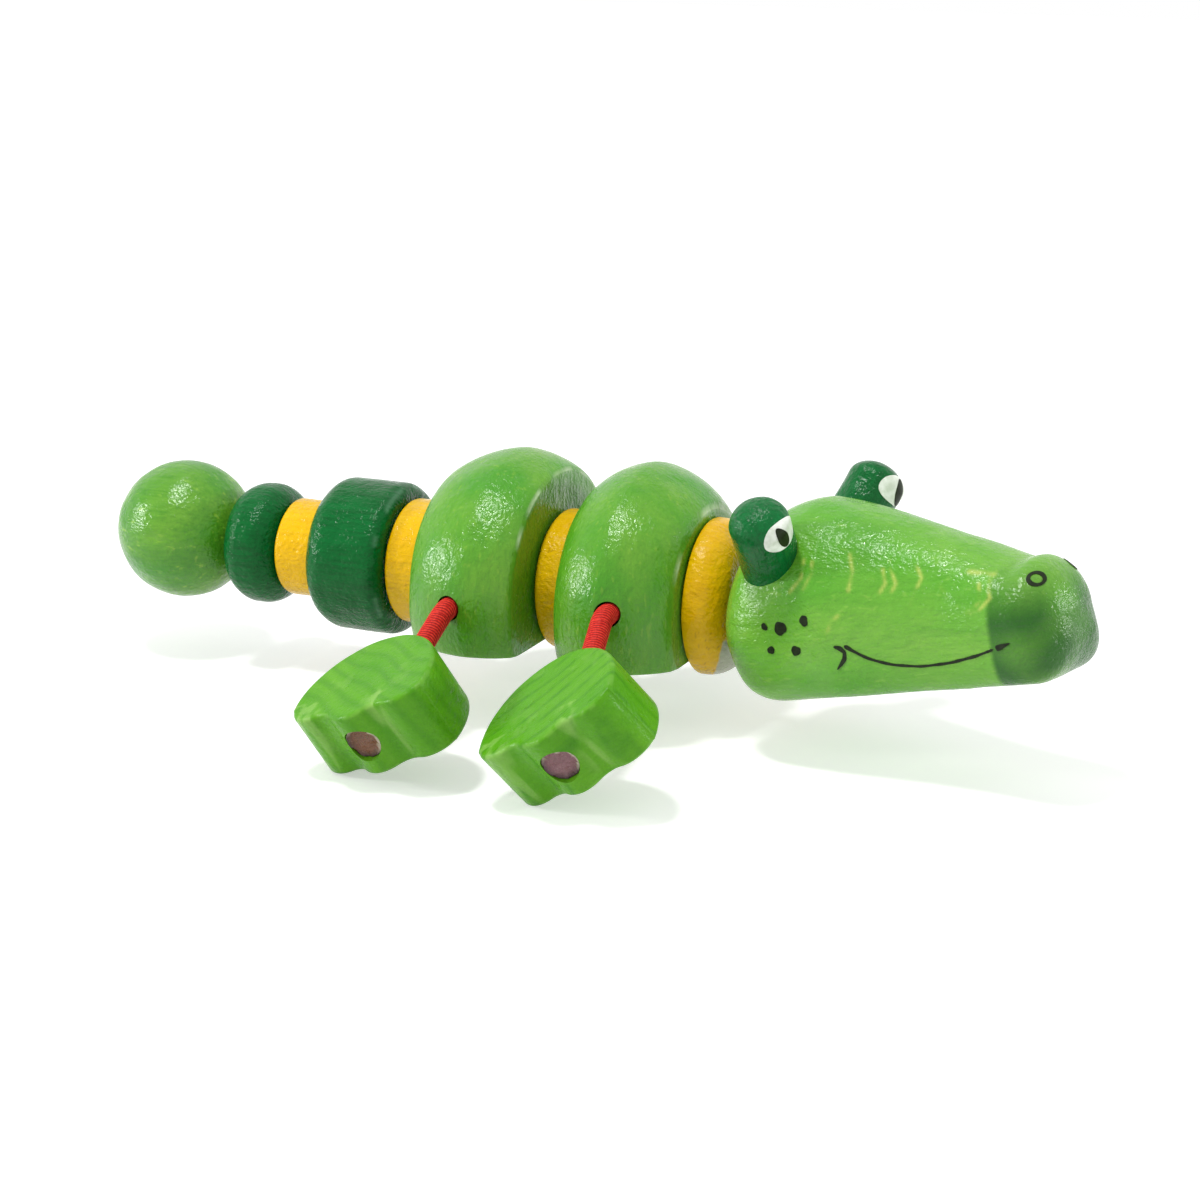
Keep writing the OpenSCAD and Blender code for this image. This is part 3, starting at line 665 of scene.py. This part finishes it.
def mark_foot(foot, local, end, seed):
    """The board's fibres as a slant over the foot, its dark bands as a power of a sine across them, and
    painted highlights along the edges and in the toes' grooves."""
    over, along = (-0.545, 0.839) if end == "rear" else (0.42, 0.906)
    ripple = waviness(local, 14.0, 0.7, seed)
    flow = local[:, 0] * over + local[:, 1] * along + 0.1 * local[:, 2] + ripple
    grain_mm = [flow + 17 * seed, local[:, 0] * along - local[:, 1] * over, local[:, 2]]
    note(foot, "wood_mm", np.column_stack(grain_mm))
    band = 0.5 + 0.5 * np.sin(flow * 2 * np.pi / (3.0 if end == "rear" else 2.9))
    dashes = np.clip(0.8 + waviness(local, 3.0, 0.6, seed + 5), 0, 1)
    note(foot, "band", band ** 2 * 0.35 if end == "rear" else band ** 6 * 0.6 * dashes)
    half = foot_thick / 2
    # Painted highlights: a thin pale line on the walls just inside the top and bottom edges, and pale streaks
    # in the groove on one side of the middle toe and over the toe on the other side
    near_edge = np.exp(-((np.abs(local[:, 2]) - half + 0.3) / 0.35) ** 2)
    face = np.abs(local[:, 2]) > half - 0.02
    groove = np.exp(-((local[:, 0] - 5.2) / 1.5) ** 2) + np.clip((-5.5 - local[:, 0]) / 2, 0, 1) * 0.8
    groove = groove * (local[:, 1] > 14.0) * np.clip((half - 0.5 - local[:, 2]) / 1.5, 0, 1)
    streak = np.clip(0.5 + waviness(local * [1, 1, 0.25], 2.5, 2.2, seed + 7), 0, 1)
    note(foot, "edge", np.clip(near_edge * 0.2 * (~face) * streak + groove * 0.5 * streak, 0, 0.9))


def mark_plug(plug, local, seed):
    """A pale ragged rim towards the lower right, and shade inside the rim on the other side."""
    note(plug, "wood_mm", local * 2.2 + [9 * seed, 0, 0])
    away = np.hypot(local[:, 0], local[:, 2])
    low_right = np.clip(0.5 + (local[:, 0] - local[:, 2]) / 3, 0, 1)
    ragged = np.clip((away - 2.55 + waviness(local, 1.5, 0.3, seed)) / 0.2, 0, 1)
    note(plug, "ragged_rim", ragged * 0.85 * low_right)
    note(plug, "shade", np.clip((away - 1.9) / 0.9, 0, 1) * (1 - low_right) * 0.9)


# The pale edge colour of the feet is a painted highlight
sawn_green = stained_wood("sawn_green_lacquer", linear(84, 154, 26), linear(110, 172, 40),
                          linear(66, 136, 22), fibre=0.3, fleck=0.12, gloss=0.3, bump=0.0001, shine=0.18,
                          wear_and_painted_light={"band": linear(54, 122, 18), "edge": linear(150, 196, 100)})
ragged_rim = linear(196, 190, 164)
plug_wood = {
    "rear": stained_wood("warm_end_grain", linear(106, 64, 38), linear(148, 104, 84), linear(70, 38, 26),
                         fibre=0.3, fleck=0.6, wear_and_painted_light={"shade": linear(44, 24, 20), "ragged_rim": ragged_rim}),
    "front": stained_wood("mauve_end_grain", linear(122, 78, 86), linear(156, 118, 122), linear(80, 42, 46),
                          fibre=0.3, fleck=0.6, wear_and_painted_light={"shade": linear(50, 28, 30), "ragged_rim": ragged_rim})}

for end, leg in legs.items():
    for side, hand in hands:
        seed = 40 + 2 * (end == "rear") + (side > 0)
        body = f"foot_{end}_{hand}"
        axes = leg_axes(leg, side)
        way = axes[1] / 1000
        heel = spine + side_hole(end, side) / 1000 + way * (leg["reach"] - mouth_lift)
        foot = solid_piece(f"paw_{end}_{hand}", skin("paw", heel + foot_surface(seed) @ axes / 1000))
        drilled(foot, [(heel - way * 2, heel + way * (plug_back + 0.5), bore_r / 1000),
                       (heel + way * plug_back, heel + way * (foot_long + 3), plug_r / 1000)])
        mark_foot(foot, (places(foot) - heel) @ axes.T * 1000, end, seed)
        finish_piece(foot, sawn_green, body, "light_green_wood", body)

        plug = solid_piece(f"plug_{end}_{hand}", skin("plug", heel + plug_surface(seed) @ axes / 1000))
        mark_plug(plug, (places(plug) - heel) @ axes.T * 1000, seed)
        finish_piece(plug, plug_wood[end], body, "toe_plug", f"toe_plug_{end}_{hand}")


# The elastic cord
# Round red braided elastic, 3.5 mm thick. The legs' cords show between the blocks and the feet;
# the spine's cord lies in the bores, so there the plain solids stay.
def braided_tube(name, route, radius, pitch=0.00056):
    """Tube swept along a smooth route, its radius rippled once per braid turn along it and 20 times round
    it."""
    steps = np.linalg.norm(np.diff(route, axis=0), axis=1)
    length = np.concatenate([[0], np.cumsum(steps)])
    count = int(length[-1] / pitch * 8)
    at = np.linspace(0, length[-1], count)
    centre = np.stack([np.interp(at, length, route[:, k]) for k in range(3)], 1)
    tangent = unit(np.gradient(centre, axis=0))
    first = unit(np.cross(tangent, [0.31, 0.12, 0.94]))
    second = np.cross(tangent, first)
    turns = once_round(60)
    rib = 0.5 + 0.5 * np.cos(2 * np.pi * at[:, None] / pitch + 1.2 * np.sin(turns * 2))
    strand = 0.5 + 0.5 * np.cos(20 * turns)
    r = radius * (0.93 + 0.07 * np.sqrt(rib) - 0.02 * strand * rib)
    grid = centre[:, None] + r[..., None] * (np.cos(turns)[:, None] * first[:, None]
                                             + np.sin(turns)[:, None] * second[:, None])
    piece = solid_piece(name, skin(name, grid))
    note(piece, "rib", np.concatenate([np.broadcast_to(rib, grid.shape[:2]).ravel(), [0.5, 0.5]]))
    return piece


def two_tones(tree, value, low, high, start, stop):
    """Two colours that a value runs between, from start to stop."""
    ramp = added(tree, "ValToRGB", {"Fac": value})
    for mark, spot, colour in zip(ramp.color_ramp.elements, (start, stop), (low, high)):
        mark.position = spot
        mark.color = colour
    return ramp.outputs["Color"]


braid, tree = new_material("red_braid")
place = added(tree, "TexCoord", {}).outputs["Object"]
fuzz = added(tree, "TexNoise", {"Vector": place, "Scale": 2600, "Detail": 3}).outputs["Fac"]
reds = two_tones(tree, fuzz, linear(190, 30, 28), linear(246, 72, 60), 0.3, 0.72)
# Painted shade: the grooves between the ribs are coloured a darker red
rib = added(tree, "Attribute", {}, attribute_name="rib").outputs["Fac"]
groove = added(tree, "MapRange", {"Value": rib, "From Max": 0.6, "To Min": 1.0, "To Max": 0.0})
lifted = added(tree, "Bump", {"Height": fuzz, "Strength": 0.6, "Distance": 0.0001})
feed(tree.nodes["Principled BSDF"], {
    "Base Color": mixed(tree, groove.outputs["Result"], reds, linear(128, 12, 14)), "Roughness": 0.55,
    "Specular IOR Level": 0.15, "Normal": lifted.outputs["Normal"]})


def cord_length(name, route, nodes, radius=cord_r / 1000):
    """A stretch of braid that bends from one body to the next, between two places on it."""
    piece = braided_tube(name, route, radius)
    piece.data.shade_smooth()
    piece.data.materials.append(braid)
    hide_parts(*nodes)
    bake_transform(piece)


knuckle_long, short_of_toe = 5.0, 5.0
for end, leg in legs.items():
    for side, hand in hands:
        bend = spine + side_hole(end, side) / 1000
        outward, way = np.array([0, side, 0]) / 1000, leg_axes(leg, side)[1] / 1000
        half_way, knuckle = bend + way * knuckle_long / 2, bend + way * knuckle_long
        # The bend is a curve whose middle point is the corner: squares of two shares and twice their product
        s = np.linspace(0, 1, 30)[:, None]
        curve = (1 - s) ** 2 * (bend - outward * 1.8) + 2 * s * (1 - s) * bend + s ** 2 * (bend + way * 1.8)
        upper = np.concatenate([[bend - outward * 3.5], curve, [half_way]])
        cord_length(f"elastic_{end}_{hand}_upper", upper,
                    (f"leg_root_{end}_{hand}", f"leg_knuckle_{end}_{hand}"))
        lower = np.stack([half_way, bend + way * (leg["reach"] - mouth_lift + foot_long - short_of_toe)])
        cord_length(f"elastic_{end}_{hand}_lower", lower, (f"leg_cord_{end}_{hand}",))

# The stretch from the neck ring's mouth to the middle of the head's back, drawn straight; on the toy it bends
# when the head tips
nook_start, nook_end = spine + [0.00688, 0, 0], spine + [0.00935, 0, 0]
cord_length("elastic_nook", np.stack([nook_start, nook_end]), ("spine_cord_nook",),
            radius=0.00173)

for name in ("head", "neck_ring", "front_body", "waist_ring", "rear_body", "tail_ring", "collar", "tail"):
    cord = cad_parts[f"spine_cord_{name}"]
    cord.data.materials.clear()
    cord.data.materials.append(braid)


# The head
# Carved from one block of beech: domed cheeks, a flat jaw, and a long snout with a raised,
# round nose. It leans on the neck ring, tilted up and turned a little to its right.

# In mm: its length, and the height of its widest line over the cord's hole
head_long, widest = 57.5, -4.0
yaw, pitch = math.radians(13.5), math.radians(12.5)
head_turn = np.array([[math.cos(pitch) * math.cos(yaw), -math.cos(pitch) * math.sin(yaw), math.sin(pitch)],
                      [math.sin(yaw), math.cos(yaw), 0],
                      [-math.sin(pitch) * math.cos(yaw), math.sin(pitch) * math.sin(yaw), math.cos(pitch)]])
head_ahead = math.cos(pitch) * math.cos(yaw)
# The back's middle stands off the seat by so much that its lean just brings it to the seat's rim
face_gap = 0.25
seat_x = mm_box("neck_ring")[1][0] + face_gap
head_spot = np.array([seat_x + seat_r * math.sqrt(1 - head_ahead ** 2) / head_ahead, 0, 0])


def on_head(local):
    """Places of the head's own axes, in mm, brought into the toy's frame in metres."""
    return spine + (head_spot + local @ head_turn) / 1000


def eased(start, stop, share):
    """Runs from start to stop along half a cosine wave as share goes from 0 to 1."""
    return start + (stop - start) * (1 - np.cos(np.pi * np.clip(share, 0, 1))) / 2


def round_off(distance, reach, power, depth):
    """Share to which a section shrinks near an end: the root of 1 less a power of the share of the reach that
    is left."""
    return np.sqrt(1 - np.clip(1 - distance / reach, 0, 1) ** power * depth)


def head_surface(x, turn, brow=15.5, crown=16.2, nose_start=0.86 * head_long, snout_z=4.5, nose_z=5.1):
    """Section of the head at x: over the widest line a half oval up to the ridge, under it a squarer one
    down to the jaw. The ridge rises to the crown, falls to the snout and steps up to the nose; half width
    and jaw follow the length, and both ends shrink in to be round."""
    falling = (np.clip(x - brow, 0, None) / (nose_start - brow)) ** 1.2
    ridge = np.where(x < brow, crown - 0.03 * (brow - x) ** 2,
                     np.where(x < nose_start, crown - (crown - snout_z) * falling,
                              eased(snout_z, nose_z, (x - nose_start) / 3)))
    half = eased(16.6, 10.8, (x / head_long - 0.12) / 0.62) - eased(0, 0.8, (x / head_long - 0.75) / 0.25)
    jaw = 14.3 - eased(0, 0.5, (x / head_long - 0.5) / 0.5)
    up = np.sin(turn) > 0
    below = np.clip(-np.sin(turn), 0, 1) ** 0.5
    shrink = (round_off(x, 8, 2.4, 0.6) * round_off(head_long - x, 8.5, 2.4, 0.93) * (1 - below)
              + round_off(x, 11, 2.4, 0.85) * round_off(head_long - x, 6, 2.6, 0.8) * below)
    upright, level = np.abs(np.sin(turn)), np.abs(np.cos(turn))
    z = widest + shrink * np.where(up, (ridge - widest) * upright, -(jaw + widest) * upright ** 0.45)
    y = half * shrink * np.sign(np.cos(turn)) * np.where(up, level ** 0.95, level ** 0.42)
    return np.stack(np.broadcast_arrays(x, y, z), -1)


def side_of_head(spots, side):
    """Points of the head's side at given lengths and heights, looked up on a fine ring of each section, with
    places that crowd towards the widest line: 89.5 degrees times the cube of an even spread."""
    turns = np.radians(89.5 * np.linspace(-1, 1, 1441) ** 3)
    flat = spots.reshape(-1, 2)
    rings = head_surface(flat[:, :1], turns[None])
    nearest = np.abs(rings[..., 2] - flat[:, 1:]).argmin(1)
    found = rings[np.arange(len(rings)), nearest] * [1, side, 1]
    return found.reshape(*spots.shape[:-1], 3)


def head_grid(back_zone=14, nose_zone=14.5):
    """Rings of the head from the middle of its back to the middle of its nose, close together near both ends,
    with points that crowd at the widest line and the jaw's corners."""
    quarter_back, quarter_nose = np.linspace(0, np.pi / 2, 60), np.linspace(0, np.pi / 2, 70)
    stations = np.concatenate([back_zone * (1 - np.cos(quarter_back)),
                               np.linspace(back_zone, head_long - nose_zone, 92)[1:-1],
                               head_long - nose_zone * (1 - np.sin(quarter_nose))])
    turns = once_round(360)
    turns = turns - 0.32 * np.sin(2 * turns) / 2
    rings = head_surface(stations[:, None], turns[None])
    shares = np.linspace(0, 1, 22)[:-1, None, None]
    back_face = np.array([0, 0, widest + 3.0]) * (1 - shares) + rings[0] * shares
    nose_face = (np.array([head_long, 0, widest + 1]) * (1 - shares) + rings[-1] * shares)[::-1]
    nose_face[..., 0] += 0.25 * (1 - (shares[::-1, :, 0]) ** 2)
    return np.concatenate([back_face[1:], rings, nose_face[:-1]])


grid = head_grid()
normal = surface_normals(grid)
outward = np.sign((normal * (grid - np.array([26, 0, -2]))).sum(-1))[..., None]
# Sanded and uneven, but not at the back, which fits the neck ring
edge_fade = np.clip(grid[..., :1] / 6, 0, 1)
uneven = 0.06 + waviness(grid, 9.0, 0.05, 61)[..., None] + waviness(grid, 3.5, 0.015, 62)[..., None]
head = solid_piece("carved_head", skin("carved_head", on_head(grid - normal * outward * edge_fade * uneven)))
cord_hole = [spine + np.array([seat_x - 2, 0, 0]) / 1000, spine + (head_spot + [16, 0, 0]) / 1000]
drilled(head, [(*cord_hole, bore_r / 1000)])
local = ((places(head) - spine) * 1000 - head_spot) @ head_turn.T
note(head, "wood_mm", local[:, [1, 0, 2]] + [0, 300, 0])


def stroke_strength(points, strokes, wide):
    """1 on a brush stroke, falling to 0 over its width with the square of the least distance to any short
    piece of any stroke."""
    nearest = np.full(len(points), 1e9)
    for line in strokes:
        line = np.asarray(line, float)
        for a, b in zip(line[:-1], line[1:]):
            along = np.clip(((points - a) @ (b - a)) / ((b - a) @ (b - a)), 0, 1)
            nearest = np.minimum(nearest, np.linalg.norm(points - a - along[:, None] * (b - a), axis=1))
    return np.exp(-(nearest / wide) ** 2)


# Thin cream scales, half hidden under the green, bend down both sides of the snout
scales = [[(17.8, 8.4), (17.7, 5.9), (15.9, 4.0)], [(19.2, 8.0), (19.3, 6.2), (18.2, 4.2)],
          [(24.9, 8.4), (25.8, 5.9), (25.3, 3.3)], [(30.4, 5.8), (31.0, 3.8), (30.0, 2.2)],
          [(31.7, 5.7), (32.6, 3.6), (32.0, 2.2)],
          [(35.6, 5.9), (36.6, 4.0), (36.0, 2.6), (35.4, 1.7), (35.0, 0.4)],
          [(39.7, 3.0), (41.0, 0.9)], [(47.2, 2.7), (48.0, 0.4), (46.4, -1.2)],
          [(45.9, 2.5), (46.4, 0.2), (45.0, -1.4)], [(21.5, -3.0), (22.6, -1.0), (24.4, 0.5)],
          [(43.8, 4.2), (47.6, 3.4)]]
mask = stroke_strength(local[:, [0, 2]], scales, 0.28) * (np.abs(local[:, 1]) > 4)
note(head, "scale", mask * np.clip(0.35 + waviness(local, 2.5, 0.5, 63), 0.05, 0.6))
# The stain is deeper low on the nose, and a broad painted sheen makes the cheek's underside paler
past_smile = np.clip((local[:, 0] - 47.2) / 0.8, 0, 1) * np.clip((5.0 - local[:, 2]) / 8, 0, 1)
note(head, "deep_side", past_smile * 0.95 * np.clip(0.85 + waviness(local, 9.0, 0.4, 64), 0, 1))
under_cheek = np.exp(-((local[:, 0] - 13) / 8) ** 2 - ((local[:, 2] + 9) / 4.5) ** 2)
note(head, "cheek_sheen", under_cheek * 0.2 * np.clip(0.7 + waviness(local, 6.0, 0.5, 65), 0, 1))
head_green = stained_wood("head_green_lacquer", linear(90, 164, 42), linear(144, 194, 78),
                          linear(70, 140, 34), fleck=0.35, bump=0.00014,
                          wear_and_painted_light={"cheek_sheen": linear(160, 204, 128), "deep_side": linear(30, 92, 12),
                                "scale": linear(196, 206, 100)})
finish_piece(head, head_green, "head", "light_green_wood", "head")


# The painted face
# Brushed on in black: a long smile with a hooked corner, five freckles on each cheek and
# two rings for nostrils. The marks are thin films of paint on the lacquer.
def brushed_paint(name, dabs, detail, low, high, start, stop, roughness):
    """Material: opaque paint whose brush marks run between two tones, after a noise of so many dabs to the
    metre."""
    material, tree = new_material(name)
    place = added(tree, "TexCoord", {}).outputs["Object"]
    noise = added(tree, "TexNoise", {"Vector": place, "Scale": dabs, "Detail": detail}).outputs["Fac"]
    feed(tree.nodes["Principled BSDF"], {
        "Base Color": two_tones(tree, noise, low, high, start, stop), "Roughness": roughness,
        "Specular IOR Level": 0.14})
    return material


def paint_film(name, grid, target, closed_rows=False, lift=0.00005, thick=0.00012):
    """A sheet of points is dropped on to the nearest wood, lifted a hair, and given its thickness inwards."""
    rows, columns = grid.shape[:2]
    r, c = np.meshgrid(np.arange(rows if closed_rows else rows - 1), np.arange(columns - 1), indexing="ij")
    r, c = r.ravel(), c.ravel()
    after = (r + 1) % rows
    faces = np.stack([r * columns + c, after * columns + c, after * columns + c + 1, r * columns + c + 1], 1)
    mesh = bpy.data.meshes.new(name)
    mesh.from_pydata(grid.reshape(-1, 3).tolist(), [], faces.tolist())
    film = put(name, mesh)
    wrap = film.modifiers.new("on_wood", "SHRINKWRAP")
    wrap.target = target
    wrap.wrap_method = "NEAREST_SURFACEPOINT"
    wrap.wrap_mode = "ABOVE_SURFACE"
    wrap.offset = lift
    coat = film.modifiers.new("film", "SOLIDIFY")
    coat.thickness = thick
    coat.offset = 0
    made = as_modified(film)
    bpy.data.objects.remove(film)
    return solid_piece(name, made)


def brush_line(name, stops, side, across=7, blur=9):
    """Ribbon along a smooth curve on the cheek: each stop is its length, its height and the brush's width
    there. The corners between the stops are smoothed by a running average with bell-shaped weights."""
    stops = np.asarray(stops, float)
    line, widths = stops[:, :2], stops[:, 2]
    knots = np.concatenate([[0], np.cumsum(np.linalg.norm(np.diff(line, axis=0), axis=1))])
    at = np.linspace(0, knots[-1], 90)
    fine = np.stack([np.interp(at, knots, line[:, k]) for k in (0, 1)], 1)
    kernel = np.exp(-(np.arange(-blur, blur + 1) / 4.0) ** 2)
    padded = np.concatenate([2 * fine[:1] - fine[blur:0:-1], fine, 2 * fine[-1:] - fine[-2:-blur - 2:-1]])
    fine = np.stack([np.convolve(padded[:, k], kernel / kernel.sum(), "valid") for k in (0, 1)], 1)
    way = np.gradient(fine, axis=0)
    sideways = unit(np.stack([-way[:, 1], way[:, 0]], 1))
    wide = np.interp(at, knots, widths) * (1 + 0.12 * np.sin(at * 2.1))
    wide *= np.clip(np.minimum(at, at[-1] - at) / 0.18, 0.12, 1) ** 0.5
    shares = np.linspace(-0.5, 0.5, across)[None, :, None]
    spots = fine[:, None] + sideways[:, None] * (shares * wide[:, None, None])
    return paint_film(name, on_head(side_of_head(spots, side)), head)


def paint_dot(name, x, z, wide, high, slant, side):
    """An oval dab of paint with a slightly uneven edge, as rings of points about its middle."""
    turns = once_round(48)
    uneven = 1 + 0.06 * np.sin(3 * turns + x) + 0.04 * np.sin(5 * turns + 2 * z)
    radii = np.linspace(0.04, 1, 8)
    u = radii * (uneven * np.cos(turns))[:, None] * wide / 2
    v = radii * (uneven * np.sin(turns))[:, None] * high / 2
    level, upright = math.cos(math.radians(slant)), math.sin(math.radians(slant))
    spots = np.stack([x + u * level - v * upright, z + u * upright + v * level], -1)
    return paint_film(name, on_head(side_of_head(spots, side)), head, closed_rows=True)


def nostril(name, side, wide=1.28, high=1.08, thick=0.62):
    """A ring of paint on the round of the nose: two radii about its middle, and a line that swells twice."""
    middle = np.array([54.0, 5.3 * side, 2.25])
    outwards = unit(np.array([0.62, 0.40 * side, 0.68]))
    first = unit(np.cross(outwards, [0, 0, 1.0]))
    second = np.cross(outwards, first)
    turns = once_round(60)
    widths = np.linspace(-0.5, 0.5, 6)[None] * (thick + 0.14 * np.sin(turns * 2 + 1))[:, None]
    ring = (middle + ((wide + widths) * np.cos(turns)[:, None])[..., None] * first
            + ((high + widths) * np.sin(turns)[:, None])[..., None] * second)
    return paint_film(name, on_head(ring), head, closed_rows=True)


black_paint = brushed_paint("black_paint", 1400, 2, linear(20, 26, 16), linear(50, 60, 40), 0.0, 1.0, 0.35)
# Length, height and brush width at each stop of a line, in mm
lines = {"smile": [(24.0, -4.9, 0.64), (25.1, -5.8, 0.47), (27.5, -7.35, 0.43), (31.0, -8.6, 0.43),
                   (35.4, -9.15, 0.38), (40.3, -8.9, 0.43), (44.9, -8.0, 0.47), (48.0, -7.1, 0.34)],
         "smile_corner": [(22.3, -4.9, 0.3), (23.2, -5.2, 0.68), (23.9, -5.9, 0.6), (23.7, -7.0, 0.68),
                          (23.0, -7.8, 0.47), (22.3, -8.5, 0.25)],
         "smile_end": [(48.5, -7.0, 0.9), (49.5, -6.7, 0.7), (50.8, -6.3, 0.25)]}
# Length, height, the dab's width and height in mm, and its slant in degrees
freckles = [(11.4, -0.9, 0.9, 1.25, 35), (14.1, -1.35, 2.0, 2.1, 0), (18.1, -0.5, 1.3, 1.75, 10),
            (12.0, -4.6, 1.25, 1.2, 25), (16.2, -5.0, 1.5, 1.55, 40)]
for side, hand in hands:
    marks = [brush_line(f"{name}_{hand}", stops, side) for name, stops in lines.items()]
    marks += [paint_dot(f"freckle_{number}_{hand}", *freckle, side)
              for number, freckle in enumerate(freckles, 1)]
    marks.append(nostril(f"nostril_{hand}", side))
    for mark in marks:
        finish_piece(mark, black_paint, "head", "dark_green_wood")


# The eyes
# Two dark green dowels with domed tops stand in bored seats, leaning outwards and forwards.
# Each looks ahead with a white almond, brushed on, and an upright black pupil in it.

# In mm: a peg's radius, length and dome, the place of its middle on the head, and the eye's height over its
# foot. The lean outwards and the nod forwards are in degrees.
peg_r, peg_long, peg_dome, eye_high = 4.82, 13.8, 3.4, 10.3
peg_x, peg_y, peg_z, peg_lean, peg_nod = 12.9, 14.6, 12.7, 37.5, 25.0


def peg_places(local, side):
    """Places on a peg's own axes, its foot at 0 and its top along the third, brought into the toy's frame."""
    lean, nod = math.radians(peg_lean) * -side, math.radians(peg_nod)
    tilt = (np.array([[1, 0, 0], [0, math.cos(lean), math.sin(lean)], [0, -math.sin(lean), math.cos(lean)]])
            @ np.array([[math.cos(nod), 0, -math.sin(nod)], [0, 1, 0], [math.sin(nod), 0, math.cos(nod)]]))
    foot = np.array([peg_x, side * peg_y, peg_z]) - np.array([0, 0, peg_long / 2]) @ tilt
    return on_head(foot + local @ tilt)


def peg_skin(turn, height):
    """A point of the peg at an angle from straight ahead and a height over its foot: a cylinder, then half an
    oval."""
    over = np.clip((height - (peg_long - peg_dome)) / peg_dome, 0, 1)
    radius = peg_r * np.sqrt(1 - over ** 2)
    return np.stack(np.broadcast_arrays(radius * np.cos(turn), radius * np.sin(turn), height), -1)


def peg_grid(side):
    """Rings up the peg and over its dome, a little uneven, from its middle underneath to its very top."""
    dome_start = peg_long - peg_dome
    climb = np.concatenate([np.linspace(0, dome_start, 34),
                            dome_start + peg_dome * np.sin(np.linspace(0, np.pi / 2, 36))[1:-1]])
    turns = once_round(160)
    grid = peg_skin(turns[None], climb[:, None])
    grid[..., :2] *= 1 - 0.012 * np.clip(1 + waviness(grid, 4.0, 1.0, 71 + side), 0, 2)[..., None]
    tip = [0.15 * np.cos(turns), 0.15 * np.sin(turns), peg_long - 0.003]
    return np.concatenate([grid[:1] * [0.02, 0.02, 1], grid, np.stack(np.broadcast_arrays(*tip), -1)[None]])


white_paint = brushed_paint("white_paint", 700, 4, linear(212, 220, 204), linear(246, 249, 242),
                            0.35, 0.65, 0.4)
eye_green = stained_wood("eye_green_lacquer", linear(0, 96, 44), linear(6, 126, 64), linear(0, 62, 28),
                         fibre=0.45, gloss=0.14, bump=0.00016, shine=0.2)
radii, turns = np.linspace(0.03, 1, 12), once_round(64)[:, None]
across, up = np.cos(turns), np.sin(turns)
for side, hand in hands:
    peg = solid_piece(f"eye_dowel_{hand}", skin("eye_dowel", peg_places(peg_grid(side), side)))
    base = peg_places(np.zeros((1, 3)), side)
    axes = peg_places(np.eye(3), side) - base
    local = (places(peg) - base) @ axes.T * 1e6
    note(peg, "wood_mm", local[:, [0, 2, 1]] + [23 * side, 0, 0])
    finish_piece(peg, eye_green, "head", "dark_green_wood", f"eye_peg_{hand}")

    # The white almond and its pupil sit where the brush put them: 12 degrees further in on the left eye
    inward, slant = (0.0, 3.0) if side < 0 else (-12.0, -9.0)
    leaf_turn = inward + 45 * np.sign(across) * np.abs(across) ** 0.85 * radii
    leaf_half = np.where(up > 0, 2.4, 2.25) * np.sign(up) * np.abs(up) ** 0.9
    leaf = peg_skin(np.radians(side * leaf_turn), eye_high + 0.45 * across * radii + leaf_half * radii)
    patch = paint_film(f"eye_white_{hand}", peg_places(leaf, side), peg, closed_rows=True)
    finish_piece(patch, white_paint, "head", "dark_green_wood")
    spot_turn = inward + 5 + (12 * across + slant * up) * radii
    spot = peg_skin(np.radians(side * spot_turn), eye_high + 2.0 * up * radii)
    pupil = paint_film(f"pupil_{hand}", peg_places(spot, side), peg, closed_rows=True, lift=0.00014)
    finish_piece(pupil, black_paint, "head", "dark_green_wood")
